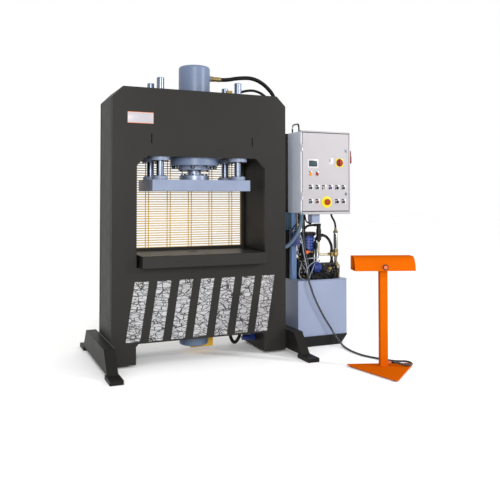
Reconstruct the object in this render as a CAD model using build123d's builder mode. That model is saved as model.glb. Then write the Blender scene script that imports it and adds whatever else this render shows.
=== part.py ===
from build123d import *
import os
from math import atan2, cos, degrees, hypot, pi, radians, sin, sqrt, tan

# Hydraulic press: a welded box frame with a main cylinder on top, a guided platen, a bolster table,
# an ejector below the bed, a control cabinet on a post over the hydraulic unit, and a two-hand
# pedestal on a cord. Millimetres, +Z up, -Y is the operator's side. The origin is on the floor,
# on the ram's axis.

# Clearances
run_gap = 0.05        # radial gap of a running fit
slip_gap = 0.1        # radial gap of a shaft seated in its own body
hole_gap = 1.5        # radial gap of a bolt hole

# Press frame
frame_width = 1800.0
frame_depth = 580.0
frame_top = 2630.0
leg_lift = 25.0       # the uprights end above the floor
face_plate = 40.0     # front and rear plates
wall_plate = 30.0     # side walls, inner walls and the top plate
upright_width = 235.0
crown_corner = 100.0
window_top = 1980.0
window_corner = 95.0
rear_lip = 28.0       # the rear window is narrower than the front one on each side
beam_bottom = 215.0
beam_corner = 25.0
crown_plate_t = 60.0
bed_plate_t = 60.0
bed_floor_t = 30.0
crown_rib_x = 250.0
bed_rib_x = 300.0
rib_t = 30.0
slot_length = 95.0
slot_width = 10.0
slot_x = 523.0
slot_z = 2145.0

# Table
table_top = 1037.0
table_t = 115.0
table_side_gap = 31.0
table_overhang = 109.0
table_hole_r = 40.0

# Feet
foot_width = 100.0
foot_top = 233.0
foot_top_reach = 465.0     # from the ram's axis to the top's ends
foot_slope_reach = 620.0
foot_pad_start = 560.0
foot_pad_end = 790.0
foot_pad_t = 38.0
foot_pad_width = 120.0
anchor_y = 710.0
anchor_hole_r = 11.0

# Main cylinder and ram
barrel_r = 160.0
bore_r = 120.0
barrel_rise = 292.0        # barrel above the frame's top
barrel_cap = 40.0
barrel_edge = 25.0
flange_r = 245.0
flange_t = 75.0
flange_pcd = 420.0
flange_bolts = 8
bolt_r = 15.0
bolt_head_r = 22.0
bolt_head_h = 30.0
bolt_grip = 50.0           # how deep the bolts go into the crown
port_drop = 107.0          # port's axis below the barrel's top
port_r = 10.0
port_boss_r = 32.0
gland_r = 162.0
gland_t = 44.0
gland_spigot = 40.0
rod_r = 70.0
piston_t = 120.0
piston_drop = 92.0        # piston below the bore's end at rest
rod_flange_r = 150.0
rod_flange_t = 50.0

# Platen and guides
platen_width = 1020.0
platen_depth = 540.0
platen_bottom = 1648.0
platen_t = 110.0
column_r = 36.0
column_x = 410.0
column_y = 180.0
column_rise = 125.0        # guide columns above the frame's top
column_seat = 40.0
column_flange_r = 75.0
column_flange_t = 38.0
bush_flange_r = 92.0
bush_flange_t = 35.0
bush_sleeve_r = 55.0
bush_sleeve_h = 160.0
top_clear_r = 45.0
stroke_rod_r = 6.0
stroke_rod_x = -78.0
stroke_rod_y = 156.0
stroke_rod_under = 100.0   # its end below the top plate

# Ejector
ejector_r = 145.0
ejector_bottom = 105.0
ejector_top = 420.0
ejector_flange_r = 175.0
ejector_flange_t = 40.0
ejector_bore_r = 80.0
ejector_end_t = 45.0
ejector_head_t = 60.0
ejector_rod_r = 30.0
ejector_piston_t = 60.0
ejector_rest = 10.0        # piston above the bore's floor at rest
ejector_drop = 5.0         # rod end below the table at rest
valve_block_length = 51.0
valve_block_bottom = 90.0
solenoid_r = 25.0
solenoid_length = 81.0

# Rear guard
wire_d = 7.0
wire_pitch = 25.0
guard_bar = 40.0
guard_bar_t = 10.0
pair_pitch = 234.0
pair_gap = 33.0
pair_first = -662.0

# Cabinet
cabinet_gap = 235.0        # from the frame's right side
cabinet_width = 622.0
cabinet_front = -177.0     # front of the shell; the door lies before it
cabinet_depth = 282.0
cabinet_bottom = 1420.0
cabinet_height = 875.0
sheet = 3.0
door_left_in = 23.0        # borders of the shell seen round the door
door_right_in = 25.0
door_low_in = 21.0
door_high_in = 14.0
door_t = 18.0
lip_width = 28.0
strike_lip = 45.0          # wider lip on the lock side, for the cams
hinge_r = 5.0
hinge_pin_r = 2.5
knuckle = 40.0
hinge_inset = 120.0
device_r = 11.2            # panel cut-out
device_pitch = 82.0
device_first = 123.0       # first column of devices from the shell's left side
upper_row = 268.0          # rows above the shell's bottom
lower_row = 116.0
lamp_row = 418.0
display_row = 530.5
display_in = 147.0
display_width = 98.0
display_height = 63.0
switch_row = 546.0
lock_rows = (203.0, 677.0)
lock_inset = 60.0
switch_inset = 142.0
estop_shift = 13.0         # left of the midpoint between two columns

# Hydraulic unit
tank_gap = 195.0           # from the frame's right side
tank_width = 600.0
tank_depth = 450.0
tank_front = -200.0
skid_height = 105.0
skid_width = 50.0
skid_out = 15.0
skid_chamfer = 88.0
tank_height = 588.0
tank_sheet = 4.0
lid_t = 8.0
lid_over = 5.0
post_size = 60.0
post_in = 40.0             # post's axis from the tank's left side
post_y = -10.0
arm_height = 185.0
motor_in = 245.0           # motor's axis from the tank's left side
motor_y = 25.0
bell_r = 75.0
bell_top = 1000.0
motor_r = 74.0
motor_top = 1165.0
cowl_r = 88.0
cowl_t = 40.0
fins = 16
small_motor_r = 55.0
small_motor_in = 225.0
small_motor_length = 90.0
small_motor_y = -110.0
small_base_in = 186.0
small_base_t = 72.0
small_base_depth = 102.0
small_base_front = -162.0
manifold_width = 180.0
manifold_depth = 84.0
manifold_front = -152.0
manifold_height = 99.0
manifold_ring_in = 39.0
stack_width = 90.0
stack_depth = 90.0
stack_bottom = 1070.0
stack_height = 140.0
stack_left_in = -25.0
gauge_z = 985.0
filter_in = 317.0          # filter's axis from the tank's left side
filter_y = -85.0
filter_r = 28.0
filter_low = 1118.0
filter_height = 182.0
filter_port = 36.0
filter_port_up = 52.0      # axis of the port towards the tee, above the filter's foot
arch_port_up = 166.0       # axis of the port towards the stack
tee_in = 473.0             # tee's axis from the tank's left side
tee_y = -98.0
tee_r = 21.0
tee_bottom = 935.0
tee_height = 50.0
control_block_in = 77.0    # block beside the pump, from the tank's left side
control_block_width = 90.0
control_block_depth = 120.0
control_block_height = 219.0
switch_in = 560.0
switch_y = -40.0
switch_foot = 79.0
switch_neck = 150.0
switch_nut = 80.0
switch_tube = 180.0
switch_cap = 25.0

# Pedestal
pedestal_x = 1446.0
pedestal_y = -1211.0
pedestal_turn = -20.0
base_side = 650.0
base_shift = -12.0
base_rear = 80.0
base_t = 10.0
base_corner = 16.0
pad_h = 12.0
pad_r = 18.0
pad_inset = 62.0
stand_tube = 70.0
stand_wall = 3.0
head_bottom = 907.0
head_length = 568.0
head_depth = 182.0
head_height = 130.0
head_sheet = 3.0
palm_wall_x = 190.0
palm_r = 20.0
palm_travel = 6.0

# Cord and hoses
cord_d = 18.0
hose_d = 42.0
return_d = 28.0
elbow_drop = 190.0         # wall elbows' axes below the frame's top
elbow_rise = 40.0
elbow_out = 40.0           # pressure elbow out from the frame's side
return_out = 30.0
adaptor_length = 45.0
ferrule_length = 77.0
gland_length = 30.0

# Places worked out from the sizes above
half_width = frame_width / 2
face_y = frame_depth / 2
inner_y = face_y - face_plate
opening_x = half_width - upright_width
rear_opening_x = opening_x - rear_lip
bed_top = table_top - table_t
bed_floor_top = beam_bottom + bed_floor_t
crown_floor_top = window_top + crown_plate_t
top_plate_bottom = frame_top - wall_plate
flange_bottom = window_top - flange_t
gland_bottom = flange_bottom - gland_t
platen_top = platen_bottom + platen_t
foot_x = half_width + foot_width / 2
door_front = cabinet_front - door_t
cabinet_left = half_width + cabinet_gap
tank_left = half_width + tank_gap
post_x = tank_left + post_in
motor_x = tank_left + motor_in
switch_x = tank_left + switch_in
door_left = cabinet_left + door_left_in
door_right = cabinet_left + cabinet_width - door_right_in
door_bottom = cabinet_bottom + door_low_in
door_top = cabinet_bottom + cabinet_height - door_high_in
cabinet_right = cabinet_left + cabinet_width
barrel_top = frame_top + barrel_rise
port_z = barrel_top - port_drop
piston_top = barrel_top - barrel_cap - piston_drop
column_top = frame_top + column_rise
stroke_rod_top = top_plate_bottom - stroke_rod_under
valve_block_x = opening_x - valve_block_length
lid_bottom = skid_height + tank_height
lid_top = lid_bottom + lid_t
columns = [device_first + cabinet_left + device_pitch * i for i in range(6)]
head_top = head_bottom + head_height
pedestal = Plane(
    origin=(pedestal_x, pedestal_y, 0),
    x_dir=(cos(radians(pedestal_turn)), sin(radians(pedestal_turn)), 0),
    z_dir=(0, 0, 1),
)

os.makedirs("parts", exist_ok=True)


def save(made, name):
    made.part.label = name
    export_step(made.part, f"parts/{name}.step")


# Outline of a frame plate: two uprights, cut shoulders and the arch between the legs
plate_points = [
    (-half_width, leg_lift),
    (-half_width, frame_top - crown_corner),
    (-half_width + crown_corner, frame_top),
    (half_width - crown_corner, frame_top),
    (half_width, frame_top - crown_corner),
    (half_width, leg_lift),
    (opening_x, leg_lift),
    (opening_x, beam_bottom - beam_corner),
    (opening_x - beam_corner, beam_bottom),
    (-opening_x + beam_corner, beam_bottom),
    (-opening_x, beam_bottom - beam_corner),
    (-opening_x, leg_lift),
]


def window_points(half_window, low):
    """Window with cut upper corners."""
    return [
        (-half_window, low),
        (-half_window, window_top - window_corner),
        (-half_window + window_corner, window_top),
        (half_window - window_corner, window_top),
        (half_window, window_top - window_corner),
        (half_window, low),
    ]


# Frame plates
with BuildPart() as front_plate:
    with BuildSketch(Plane.XZ.offset(inner_y)):
        with BuildLine():
            Polyline(*plate_points, close=True)
        make_face()
        with BuildLine():
            Polyline(*window_points(opening_x, bed_top), close=True)
        make_face(mode=Mode.SUBTRACT)
        with Locations((-slot_x, slot_z), (slot_x, slot_z)):
            SlotOverall(slot_length, slot_width, rotation=90, mode=Mode.SUBTRACT)
    extrude(amount=face_plate)
save(front_plate, "front_plate")

with BuildPart() as rear_plate:
    with BuildSketch(Plane.XZ.offset(-face_y)):
        with BuildLine():
            Polyline(*plate_points, close=True)
        make_face()
        with BuildLine():
            Polyline(*window_points(rear_opening_x, table_top + rear_lip), close=True)
        make_face(mode=Mode.SUBTRACT)
    extrude(amount=face_plate)
save(rear_plate, "rear_plate")

# Side walls, bent in at the shoulders
bend = wall_plate * tan(radians(22.5))
slope_x = half_width - crown_corner + wall_plate
with BuildPart() as side_walls:
    with BuildSketch(Plane.XZ.offset(-inner_y)):
        with BuildLine():
            Polyline(
                (half_width, leg_lift),
                (half_width, frame_top - crown_corner),
                (slope_x, top_plate_bottom),
                (slope_x - wall_plate * sqrt(2), top_plate_bottom),
                (half_width - wall_plate, frame_top - crown_corner - bend),
                (half_width - wall_plate, leg_lift),
                close=True,
            )
        make_face()
    extrude(amount=2 * inner_y)
    mirror(about=Plane.YZ)
save(side_walls, "side_walls")

with BuildPart() as inner_walls:
    with BuildSketch(Plane.XY.offset(leg_lift)):
        with Locations((-opening_x - wall_plate / 2, 0), (opening_x + wall_plate / 2, 0)):
            Rectangle(wall_plate, 2 * inner_y)
    extrude(amount=window_top - leg_lift)
save(inner_walls, "inner_walls")

# Crown: the plate that carries the cylinder, two ribs and the top plate
with BuildPart() as crown_plates:
    with BuildSketch(Plane.XY.offset(window_top)):
        Rectangle(frame_width - 2 * wall_plate, 2 * inner_y)
        Circle(barrel_r + hole_gap, mode=Mode.SUBTRACT)
        with GridLocations(2 * column_x, 2 * column_y, 2, 2):
            Circle(bush_sleeve_r + slip_gap, mode=Mode.SUBTRACT)
        with PolarLocations(flange_pcd / 2, flange_bolts, start_angle=180 / flange_bolts):
            Circle(bolt_r + slip_gap, mode=Mode.SUBTRACT)
        with Locations((stroke_rod_x, stroke_rod_y)):
            Circle(stroke_rod_r + hole_gap, mode=Mode.SUBTRACT)
    extrude(amount=crown_plate_t)
    with BuildSketch(Plane.XY.offset(crown_floor_top)):
        with Locations((-crown_rib_x - rib_t / 2, 0), (crown_rib_x + rib_t / 2, 0)):
            Rectangle(rib_t, 2 * inner_y)
    extrude(amount=top_plate_bottom - crown_floor_top)
    with BuildSketch(Plane.XZ.offset(-inner_y)):
        with BuildLine():
            Polyline(
                (-slope_x, top_plate_bottom),
                (-slope_x + wall_plate, frame_top),
                (slope_x - wall_plate, frame_top),
                (slope_x, top_plate_bottom),
                close=True,
            )
        make_face()
    extrude(amount=2 * inner_y)
    with BuildSketch(Plane.XY.offset(frame_top)):
        Circle(barrel_r + 2 * hole_gap)
        with GridLocations(2 * column_x, 2 * column_y, 2, 2):
            Circle(top_clear_r)
    extrude(amount=-wall_plate, mode=Mode.SUBTRACT)
save(crown_plates, "crown_plates")

# Bed: the plate under the table, the floor plate and two ribs
with BuildPart() as bed_plates:
    with BuildSketch(Plane.XY.offset(bed_top)):
        Rectangle(2 * opening_x, 2 * inner_y)
        Circle(table_hole_r, mode=Mode.SUBTRACT)
    extrude(amount=-bed_plate_t)
    with BuildSketch(Plane.XY.offset(beam_bottom)):
        Rectangle(2 * opening_x, 2 * inner_y)
        Circle(ejector_r + hole_gap, mode=Mode.SUBTRACT)
    extrude(amount=bed_floor_t)
    with BuildSketch(Plane.XY.offset(bed_floor_top)):
        with Locations((-bed_rib_x - rib_t / 2, 0), (bed_rib_x + rib_t / 2, 0)):
            Rectangle(rib_t, 2 * inner_y)
    extrude(amount=bed_top - bed_plate_t - bed_floor_top)
save(bed_plates, "bed_plates")

table_front = -face_y - table_overhang
with BuildPart() as table:
    with BuildSketch(Plane.XY.offset(bed_top)):
        with Locations((0, table_front)):
            Rectangle(
                2 * (opening_x - table_side_gap),
                inner_y - table_front,
                align=(Align.CENTER, Align.MIN),
            )
        Circle(table_hole_r, mode=Mode.SUBTRACT)
    extrude(amount=table_t)
    chamfer(table.edges().filter_by(Axis.X).group_by(Axis.Y)[0], length=4)
save(table, "table")

# Feet: a skid with sloped ends on an anchor pad at each end
with BuildPart() as feet:
    with BuildSketch(Plane.YZ.offset(half_width)):
        with BuildLine():
            Polyline(
                (-foot_slope_reach, foot_pad_t),
                (-foot_top_reach, foot_top),
                (foot_top_reach, foot_top),
                (foot_slope_reach, foot_pad_t),
                close=True,
            )
        make_face()
    extrude(amount=foot_width)
    pad_length = foot_pad_end - foot_pad_start
    pad_y = (foot_pad_end + foot_pad_start) / 2
    with BuildSketch():
        with Locations((foot_x, -pad_y), (foot_x, pad_y)):
            Rectangle(foot_pad_width, pad_length)
        with Locations((foot_x, -anchor_y), (foot_x, anchor_y)):
            Circle(anchor_hole_r, mode=Mode.SUBTRACT)
    extrude(amount=foot_pad_t)
    mirror(about=Plane.YZ)
save(feet, "feet")

# Main cylinder: flange below the crown, barrel through it, closed top
with BuildPart() as main_cylinder:
    with BuildSketch(Plane.XZ):
        with BuildLine():
            Polyline(
                (bore_r, flange_bottom),
                (flange_r, flange_bottom),
                (flange_r, window_top),
                (barrel_r, window_top),
                (barrel_r, barrel_top),
                (0, barrel_top),
                (0, barrel_top - barrel_cap),
                (bore_r, barrel_top - barrel_cap),
                close=True,
            )
        make_face()
    revolve(axis=Axis.Z)
    fillet(main_cylinder.edges().filter_by(GeomType.CIRCLE).group_by(Axis.Z)[-1], barrel_edge)
    chamfer(main_cylinder.edges().filter_by(GeomType.CIRCLE).group_by(Axis.Z)[0].sort_by(SortBy.RADIUS)[-1],
            length=4)
    with BuildSketch(Plane.YZ.offset(bore_r + barrel_cap / 2)):
        with Locations((0, port_z)):
            Circle(port_boss_r)
    extrude(amount=barrel_r + 8 - bore_r - barrel_cap / 2)
    with BuildSketch(Plane.YZ.offset(barrel_r + 8)):
        with Locations((0, port_z)):
            Circle(port_r)
    extrude(amount=-(barrel_r + 8 - bore_r / 2), mode=Mode.SUBTRACT)
    with BuildSketch(Plane.XY.offset(flange_bottom)):
        with PolarLocations(flange_pcd / 2, flange_bolts, start_angle=180 / flange_bolts):
            Circle(bolt_r + hole_gap)
        with Locations((stroke_rod_x, stroke_rod_y)):
            Circle(stroke_rod_r + hole_gap)
    extrude(amount=flange_t, mode=Mode.SUBTRACT)
save(main_cylinder, "main_cylinder")

with BuildPart() as cylinder_gland:
    with BuildSketch(Plane.XZ):
        with BuildLine():
            Polyline(
                (rod_r + run_gap, gland_bottom),
                (gland_r - 4, gland_bottom),
                (gland_r, gland_bottom + 4),
                (gland_r, flange_bottom),
                (bore_r - slip_gap, flange_bottom),
                (bore_r - slip_gap, flange_bottom + gland_spigot),
                (rod_r + run_gap, flange_bottom + gland_spigot),
                close=True,
            )
        make_face()
    revolve(axis=Axis.Z)
save(cylinder_gland, "cylinder_gland")

with BuildPart() as cylinder_bolts:
    with BuildSketch(Plane.XY.offset(flange_bottom)):
        with PolarLocations(flange_pcd / 2, flange_bolts, start_angle=180 / flange_bolts):
            Circle(bolt_head_r)
            RegularPolygon(bolt_r / 2, 6, mode=Mode.SUBTRACT)
    extrude(amount=-bolt_head_h)
    with BuildSketch(Plane.XY.offset(flange_bottom - bolt_head_h / 2)):
        with PolarLocations(flange_pcd / 2, flange_bolts, start_angle=180 / flange_bolts):
            Circle(bolt_r)
    extrude(amount=bolt_head_h / 2 + flange_t + bolt_grip)
save(cylinder_bolts, "cylinder_bolts")

with BuildPart() as guide_bushes:
    with BuildSketch(Plane.XY.offset(window_top - bush_flange_t)):
        with GridLocations(2 * column_x, 2 * column_y, 2, 2):
            Circle(bush_flange_r)
            Circle(column_r + run_gap, mode=Mode.SUBTRACT)
    extrude(amount=bush_flange_t)
    with BuildSketch(Plane.XY.offset(window_top)):
        with GridLocations(2 * column_x, 2 * column_y, 2, 2):
            Circle(bush_sleeve_r)
            Circle(column_r + run_gap, mode=Mode.SUBTRACT)
    extrude(amount=bush_sleeve_h)
save(guide_bushes, "guide_bushes")

# Rear guard: a flat bar frame on the rear plate and a welded wire panel
guard_half = rear_opening_x + guard_bar
guard_low = table_top + rear_lip - guard_bar
guard_high = window_top + guard_bar
with BuildPart() as rear_guard_frame:
    with BuildSketch(Plane.XZ.offset(-face_y - guard_bar_t)):
        with Locations((0, (guard_low + guard_high) / 2)):
            Rectangle(2 * guard_half, guard_high - guard_low)
            Rectangle(2 * rear_opening_x, guard_high - guard_low - 2 * guard_bar, mode=Mode.SUBTRACT)
    extrude(amount=guard_bar_t)
save(rear_guard_frame, "rear_guard_frame")

wire_inset = wire_d * 2
wire_high = guard_high - wire_inset
wire_low = guard_low + wire_inset
wire_half = guard_half - wire_inset
wire_rows = int((wire_high - wire_low) / wire_pitch)
upright_y = face_y + guard_bar_t + wire_d / 2
pair_count = int(2 * wire_half / pair_pitch) + 1
with BuildPart() as rear_guard_wires:
    with BuildSketch(Plane.XY.offset(wire_low)):
        for pair in range(pair_count):
            for side in (0, pair_gap):
                wire_x = pair_first + pair * pair_pitch + side
                if abs(wire_x) < wire_half:
                    with Locations((wire_x, upright_y)):
                        Circle(wire_d / 2)
    extrude(amount=wire_high - wire_low)
    with BuildSketch(Plane.YZ.offset(-wire_half)):
        for row in range(wire_rows + 1):
            with Locations((upright_y + wire_d, wire_low + row * wire_pitch)):
                Circle(wire_d / 2)
    extrude(amount=2 * wire_half)
save(rear_guard_wires, "rear_guard_wires")

# Ram: rod, piston and rod flange turned from one forging
with BuildPart() as ram_rod:
    with BuildSketch(Plane.XZ):
        with BuildLine():
            Polyline(
                (0, platen_top),
                (rod_flange_r, platen_top),
                (rod_flange_r, platen_top + rod_flange_t),
                (rod_r, platen_top + rod_flange_t),
                (rod_r, piston_top - piston_t),
                (bore_r - run_gap, piston_top - piston_t),
                (bore_r - run_gap, piston_top),
                (0, piston_top),
                close=True,
            )
        make_face()
    revolve(axis=Axis.Z)
    chamfer(ram_rod.edges().filter_by(GeomType.CIRCLE).group_by(Axis.Z)[1].sort_by(SortBy.RADIUS)[-1],
            length=4)
save(ram_rod, "ram_rod")

with BuildPart() as platen:
    with BuildSketch(Plane.XY.offset(platen_bottom)):
        Rectangle(platen_width, platen_depth)
    extrude(amount=platen_t)
    chamfer(platen.edges(), length=3)
    with BuildSketch(Plane.XY.offset(platen_top)):
        with GridLocations(2 * column_x, 2 * column_y, 2, 2):
            Circle(column_r + slip_gap)
    extrude(amount=-column_seat, mode=Mode.SUBTRACT)
save(platen, "platen")

with BuildPart() as guide_columns:
    with BuildSketch(Plane.XY.offset(platen_top - column_seat)):
        with GridLocations(2 * column_x, 2 * column_y, 2, 2):
            Circle(column_r)
    extrude(amount=column_top - platen_top + column_seat)
    chamfer(guide_columns.edges().filter_by(GeomType.CIRCLE).group_by(Axis.Z)[-1], length=4)
save(guide_columns, "guide_columns")

with BuildPart() as column_flanges:
    with BuildSketch(Plane.XY.offset(platen_top)):
        with GridLocations(2 * column_x, 2 * column_y, 2, 2):
            Circle(column_flange_r)
    extrude(amount=column_flange_t)
    chamfer(column_flanges.edges().filter_by(GeomType.CIRCLE).group_by(Axis.Z)[-1], length=5)
    with BuildSketch(Plane.XY.offset(platen_top)):
        with GridLocations(2 * column_x, 2 * column_y, 2, 2):
            Circle(column_r + slip_gap)
    extrude(amount=column_flange_t, mode=Mode.SUBTRACT)
save(column_flanges, "column_flanges")

with BuildPart() as stroke_rod:
    with BuildSketch(Plane.XY.offset(platen_top)):
        with Locations((stroke_rod_x, stroke_rod_y)):
            Circle(stroke_rod_r)
    extrude(amount=stroke_rod_top - platen_top)
save(stroke_rod, "stroke_rod")

# Ejector: a flanged cylinder in the bed, its rod, its valve and the stroke block below it
ejector_floor = ejector_bottom + ejector_end_t
with BuildPart() as ejector_cylinder:
    with BuildSketch(Plane.XZ):
        with BuildLine():
            Polyline(
                (0, ejector_bottom),
                (ejector_r - 12, ejector_bottom),
                (ejector_r, ejector_bottom + 12),
                (ejector_r, bed_floor_top),
                (ejector_flange_r, bed_floor_top),
                (ejector_flange_r, bed_floor_top + ejector_flange_t),
                (ejector_r, bed_floor_top + ejector_flange_t),
                (ejector_r, ejector_top),
                (ejector_rod_r + run_gap, ejector_top),
                (ejector_rod_r + run_gap, ejector_top - ejector_head_t),
                (ejector_bore_r, ejector_top - ejector_head_t),
                (ejector_bore_r, ejector_floor),
                (0, ejector_floor),
                close=True,
            )
        make_face()
    revolve(axis=Axis.Z)
save(ejector_cylinder, "ejector_cylinder")

ejector_piston_low = ejector_floor + ejector_rest
with BuildPart() as ejector_rod:
    with BuildSketch(Plane.XZ):
        with BuildLine():
            Polyline(
                (0, ejector_piston_low),
                (ejector_bore_r - run_gap, ejector_piston_low),
                (ejector_bore_r - run_gap, ejector_piston_low + ejector_piston_t),
                (ejector_rod_r, ejector_piston_low + ejector_piston_t),
                (ejector_rod_r, table_top - ejector_drop - 2),
                (ejector_rod_r - 2, table_top - ejector_drop),
                (0, table_top - ejector_drop),
                close=True,
            )
        make_face()
    revolve(axis=Axis.Z)
save(ejector_rod, "ejector_rod")

block_left = -30.0
block_right = 210.0
block_depth = 150.0
block_t = 42.0
block_riser = 45.0
block_riser_x = ejector_r + 5
with BuildPart() as ejector_block:
    with BuildSketch(Plane.XZ):
        with BuildLine():
            Polyline(
                (block_left, ejector_bottom - block_t),
                (block_right, ejector_bottom - block_t),
                (block_right, ejector_bottom + block_riser),
                (block_riser_x, ejector_bottom + block_riser),
                (block_riser_x, ejector_bottom),
                (block_left, ejector_bottom),
                close=True,
            )
        make_face()
    extrude(amount=-block_depth)
    chamfer(ejector_block.edges().filter_by(Axis.Y), length=3)
save(ejector_block, "ejector_block")

valve_y = 40.0
valve_z = valve_block_bottom + solenoid_r
with BuildPart() as ejector_valve:
    with BuildSketch(Plane.XY.offset(valve_block_bottom)):
        with Locations((valve_block_x, 0)):
            Rectangle(opening_x - valve_block_x, 2 * valve_y, align=(Align.MIN, Align.CENTER))
    extrude(amount=beam_bottom - valve_block_bottom)
    with BuildSketch(Plane.YZ.offset(valve_block_x)):
        with Locations((0, valve_z)):
            Circle(solenoid_r)
    extrude(amount=-solenoid_length)
    chamfer(ejector_valve.edges().filter_by(GeomType.CIRCLE).group_by(Axis.X)[0], length=4)
save(ejector_valve, "ejector_valve")


def tube(points, bends, radius, wall=None):
    """Tube along straight runs joined by arcs; a list of bends gives each corner its own radius."""
    with BuildPart() as made:
        with BuildLine() as route:
            FilletPolyline(*points, radius=bends)
        with BuildSketch(Plane(origin=route.line @ 0, z_dir=route.line % 0)):
            Circle(radius)
            if wall:
                Circle(radius - wall, mode=Mode.SUBTRACT)
        sweep(path=route.line)
    return made


def corner_radii(points, share=0.45):
    """Largest arc at each corner that leaves a short straight on both runs."""
    radii = []
    for before, corner, after in zip(points, points[1:], points[2:]):
        first = Vector(corner) - Vector(before)
        second = Vector(after) - Vector(corner)
        turn = radians(first.get_angle(second))
        radii.append(share * min(first.length, second.length) / tan(turn / 2))
    return radii


def stub(start, towards, length, radius, bore=0.0):
    """Round stub from a point along a direction, added to the part being built."""
    with Locations(Plane(origin=start, z_dir=towards)):
        Cylinder(radius, length, align=(Align.CENTER, Align.CENTER, Align.MIN))
        if bore:
            Cylinder(bore, length, align=(Align.CENTER, Align.CENTER, Align.MIN), mode=Mode.SUBTRACT)


# Hoses on the crown: from the cylinder port and from a block on the top plate to the right wall
boss_end = barrel_r + 8
port_end = boss_end + adaptor_length + ferrule_length
wall_x = half_width
elbow_z = frame_top - elbow_drop
elbow_top = elbow_z + elbow_rise
elbow_r = 23.0
return_y = 100.0
hose_points = [
    (port_end, 0, port_z),
    (350, 0, port_z),
    (490, 0, 2848),
    (660, 0, 2862),
    (810, 0, 2795),
    (wall_x + elbow_out, 0, 2650),
    (wall_x + elbow_out, 0, elbow_top),
]
hose_bends = corner_radii(hose_points)
print("pressure hose arcs", [round(r) for r in hose_bends])
pressure_hose = tube(hose_points, hose_bends, hose_d / 2)
save(pressure_hose, "pressure_hose")

return_points = [
    (485, return_y, 2688),
    (630, return_y, 2750),
    (790, return_y, 2738),
    (wall_x + return_out, return_y, 2630),
    (wall_x + return_out, return_y, elbow_top),
]
return_bends = corner_radii(return_points)
print("return hose arcs", [round(r) for r in return_bends])
return_hose = tube(return_points, return_bends, return_d / 2)
save(return_hose, "return_hose")

# Brass fittings of the hoses: port adaptor, two wall elbows and a block on the top plate
return_slant = atan2(return_points[1][2] - return_points[0][2], return_points[1][0] - return_points[0][0])
return_block = (395.0, 455.0, 75.0, 125.0, 90.0)
return_start = return_points[0]
stub_length = 55.0
with BuildPart() as hose_fittings:
    stub((boss_end, 0, port_z), (1, 0, 0), adaptor_length, 27, port_r)
    stub((boss_end + adaptor_length, 0, port_z), (1, 0, 0), ferrule_length, hose_d / 2 + 2, port_r)
    for elbow_x, elbow_y, thick in ((hose_points[-1][0], 0, elbow_r), (return_points[-1][0], return_y, 17)):
        stub((wall_x, elbow_y, elbow_z), (1, 0, 0), elbow_x - wall_x, thick - 3)
        stub((elbow_x, elbow_y, elbow_z - thick), (0, 0, 1), elbow_top - elbow_z + thick, thick)
    with BuildSketch(Plane.XY.offset(frame_top)):
        with Locations(((return_block[0] + return_block[1]) / 2, (return_block[2] + return_block[3]) / 2)):
            Rectangle(return_block[1] - return_block[0], return_block[3] - return_block[2])
    extrude(amount=return_block[4])
    stub(
        (return_start[0] - stub_length * cos(return_slant), return_y,
         return_start[2] - stub_length * sin(return_slant)),
        (cos(return_slant), 0, sin(return_slant)),
        stub_length,
        return_d / 2 + 3,
    )
save(hose_fittings, "hose_fittings")

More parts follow.
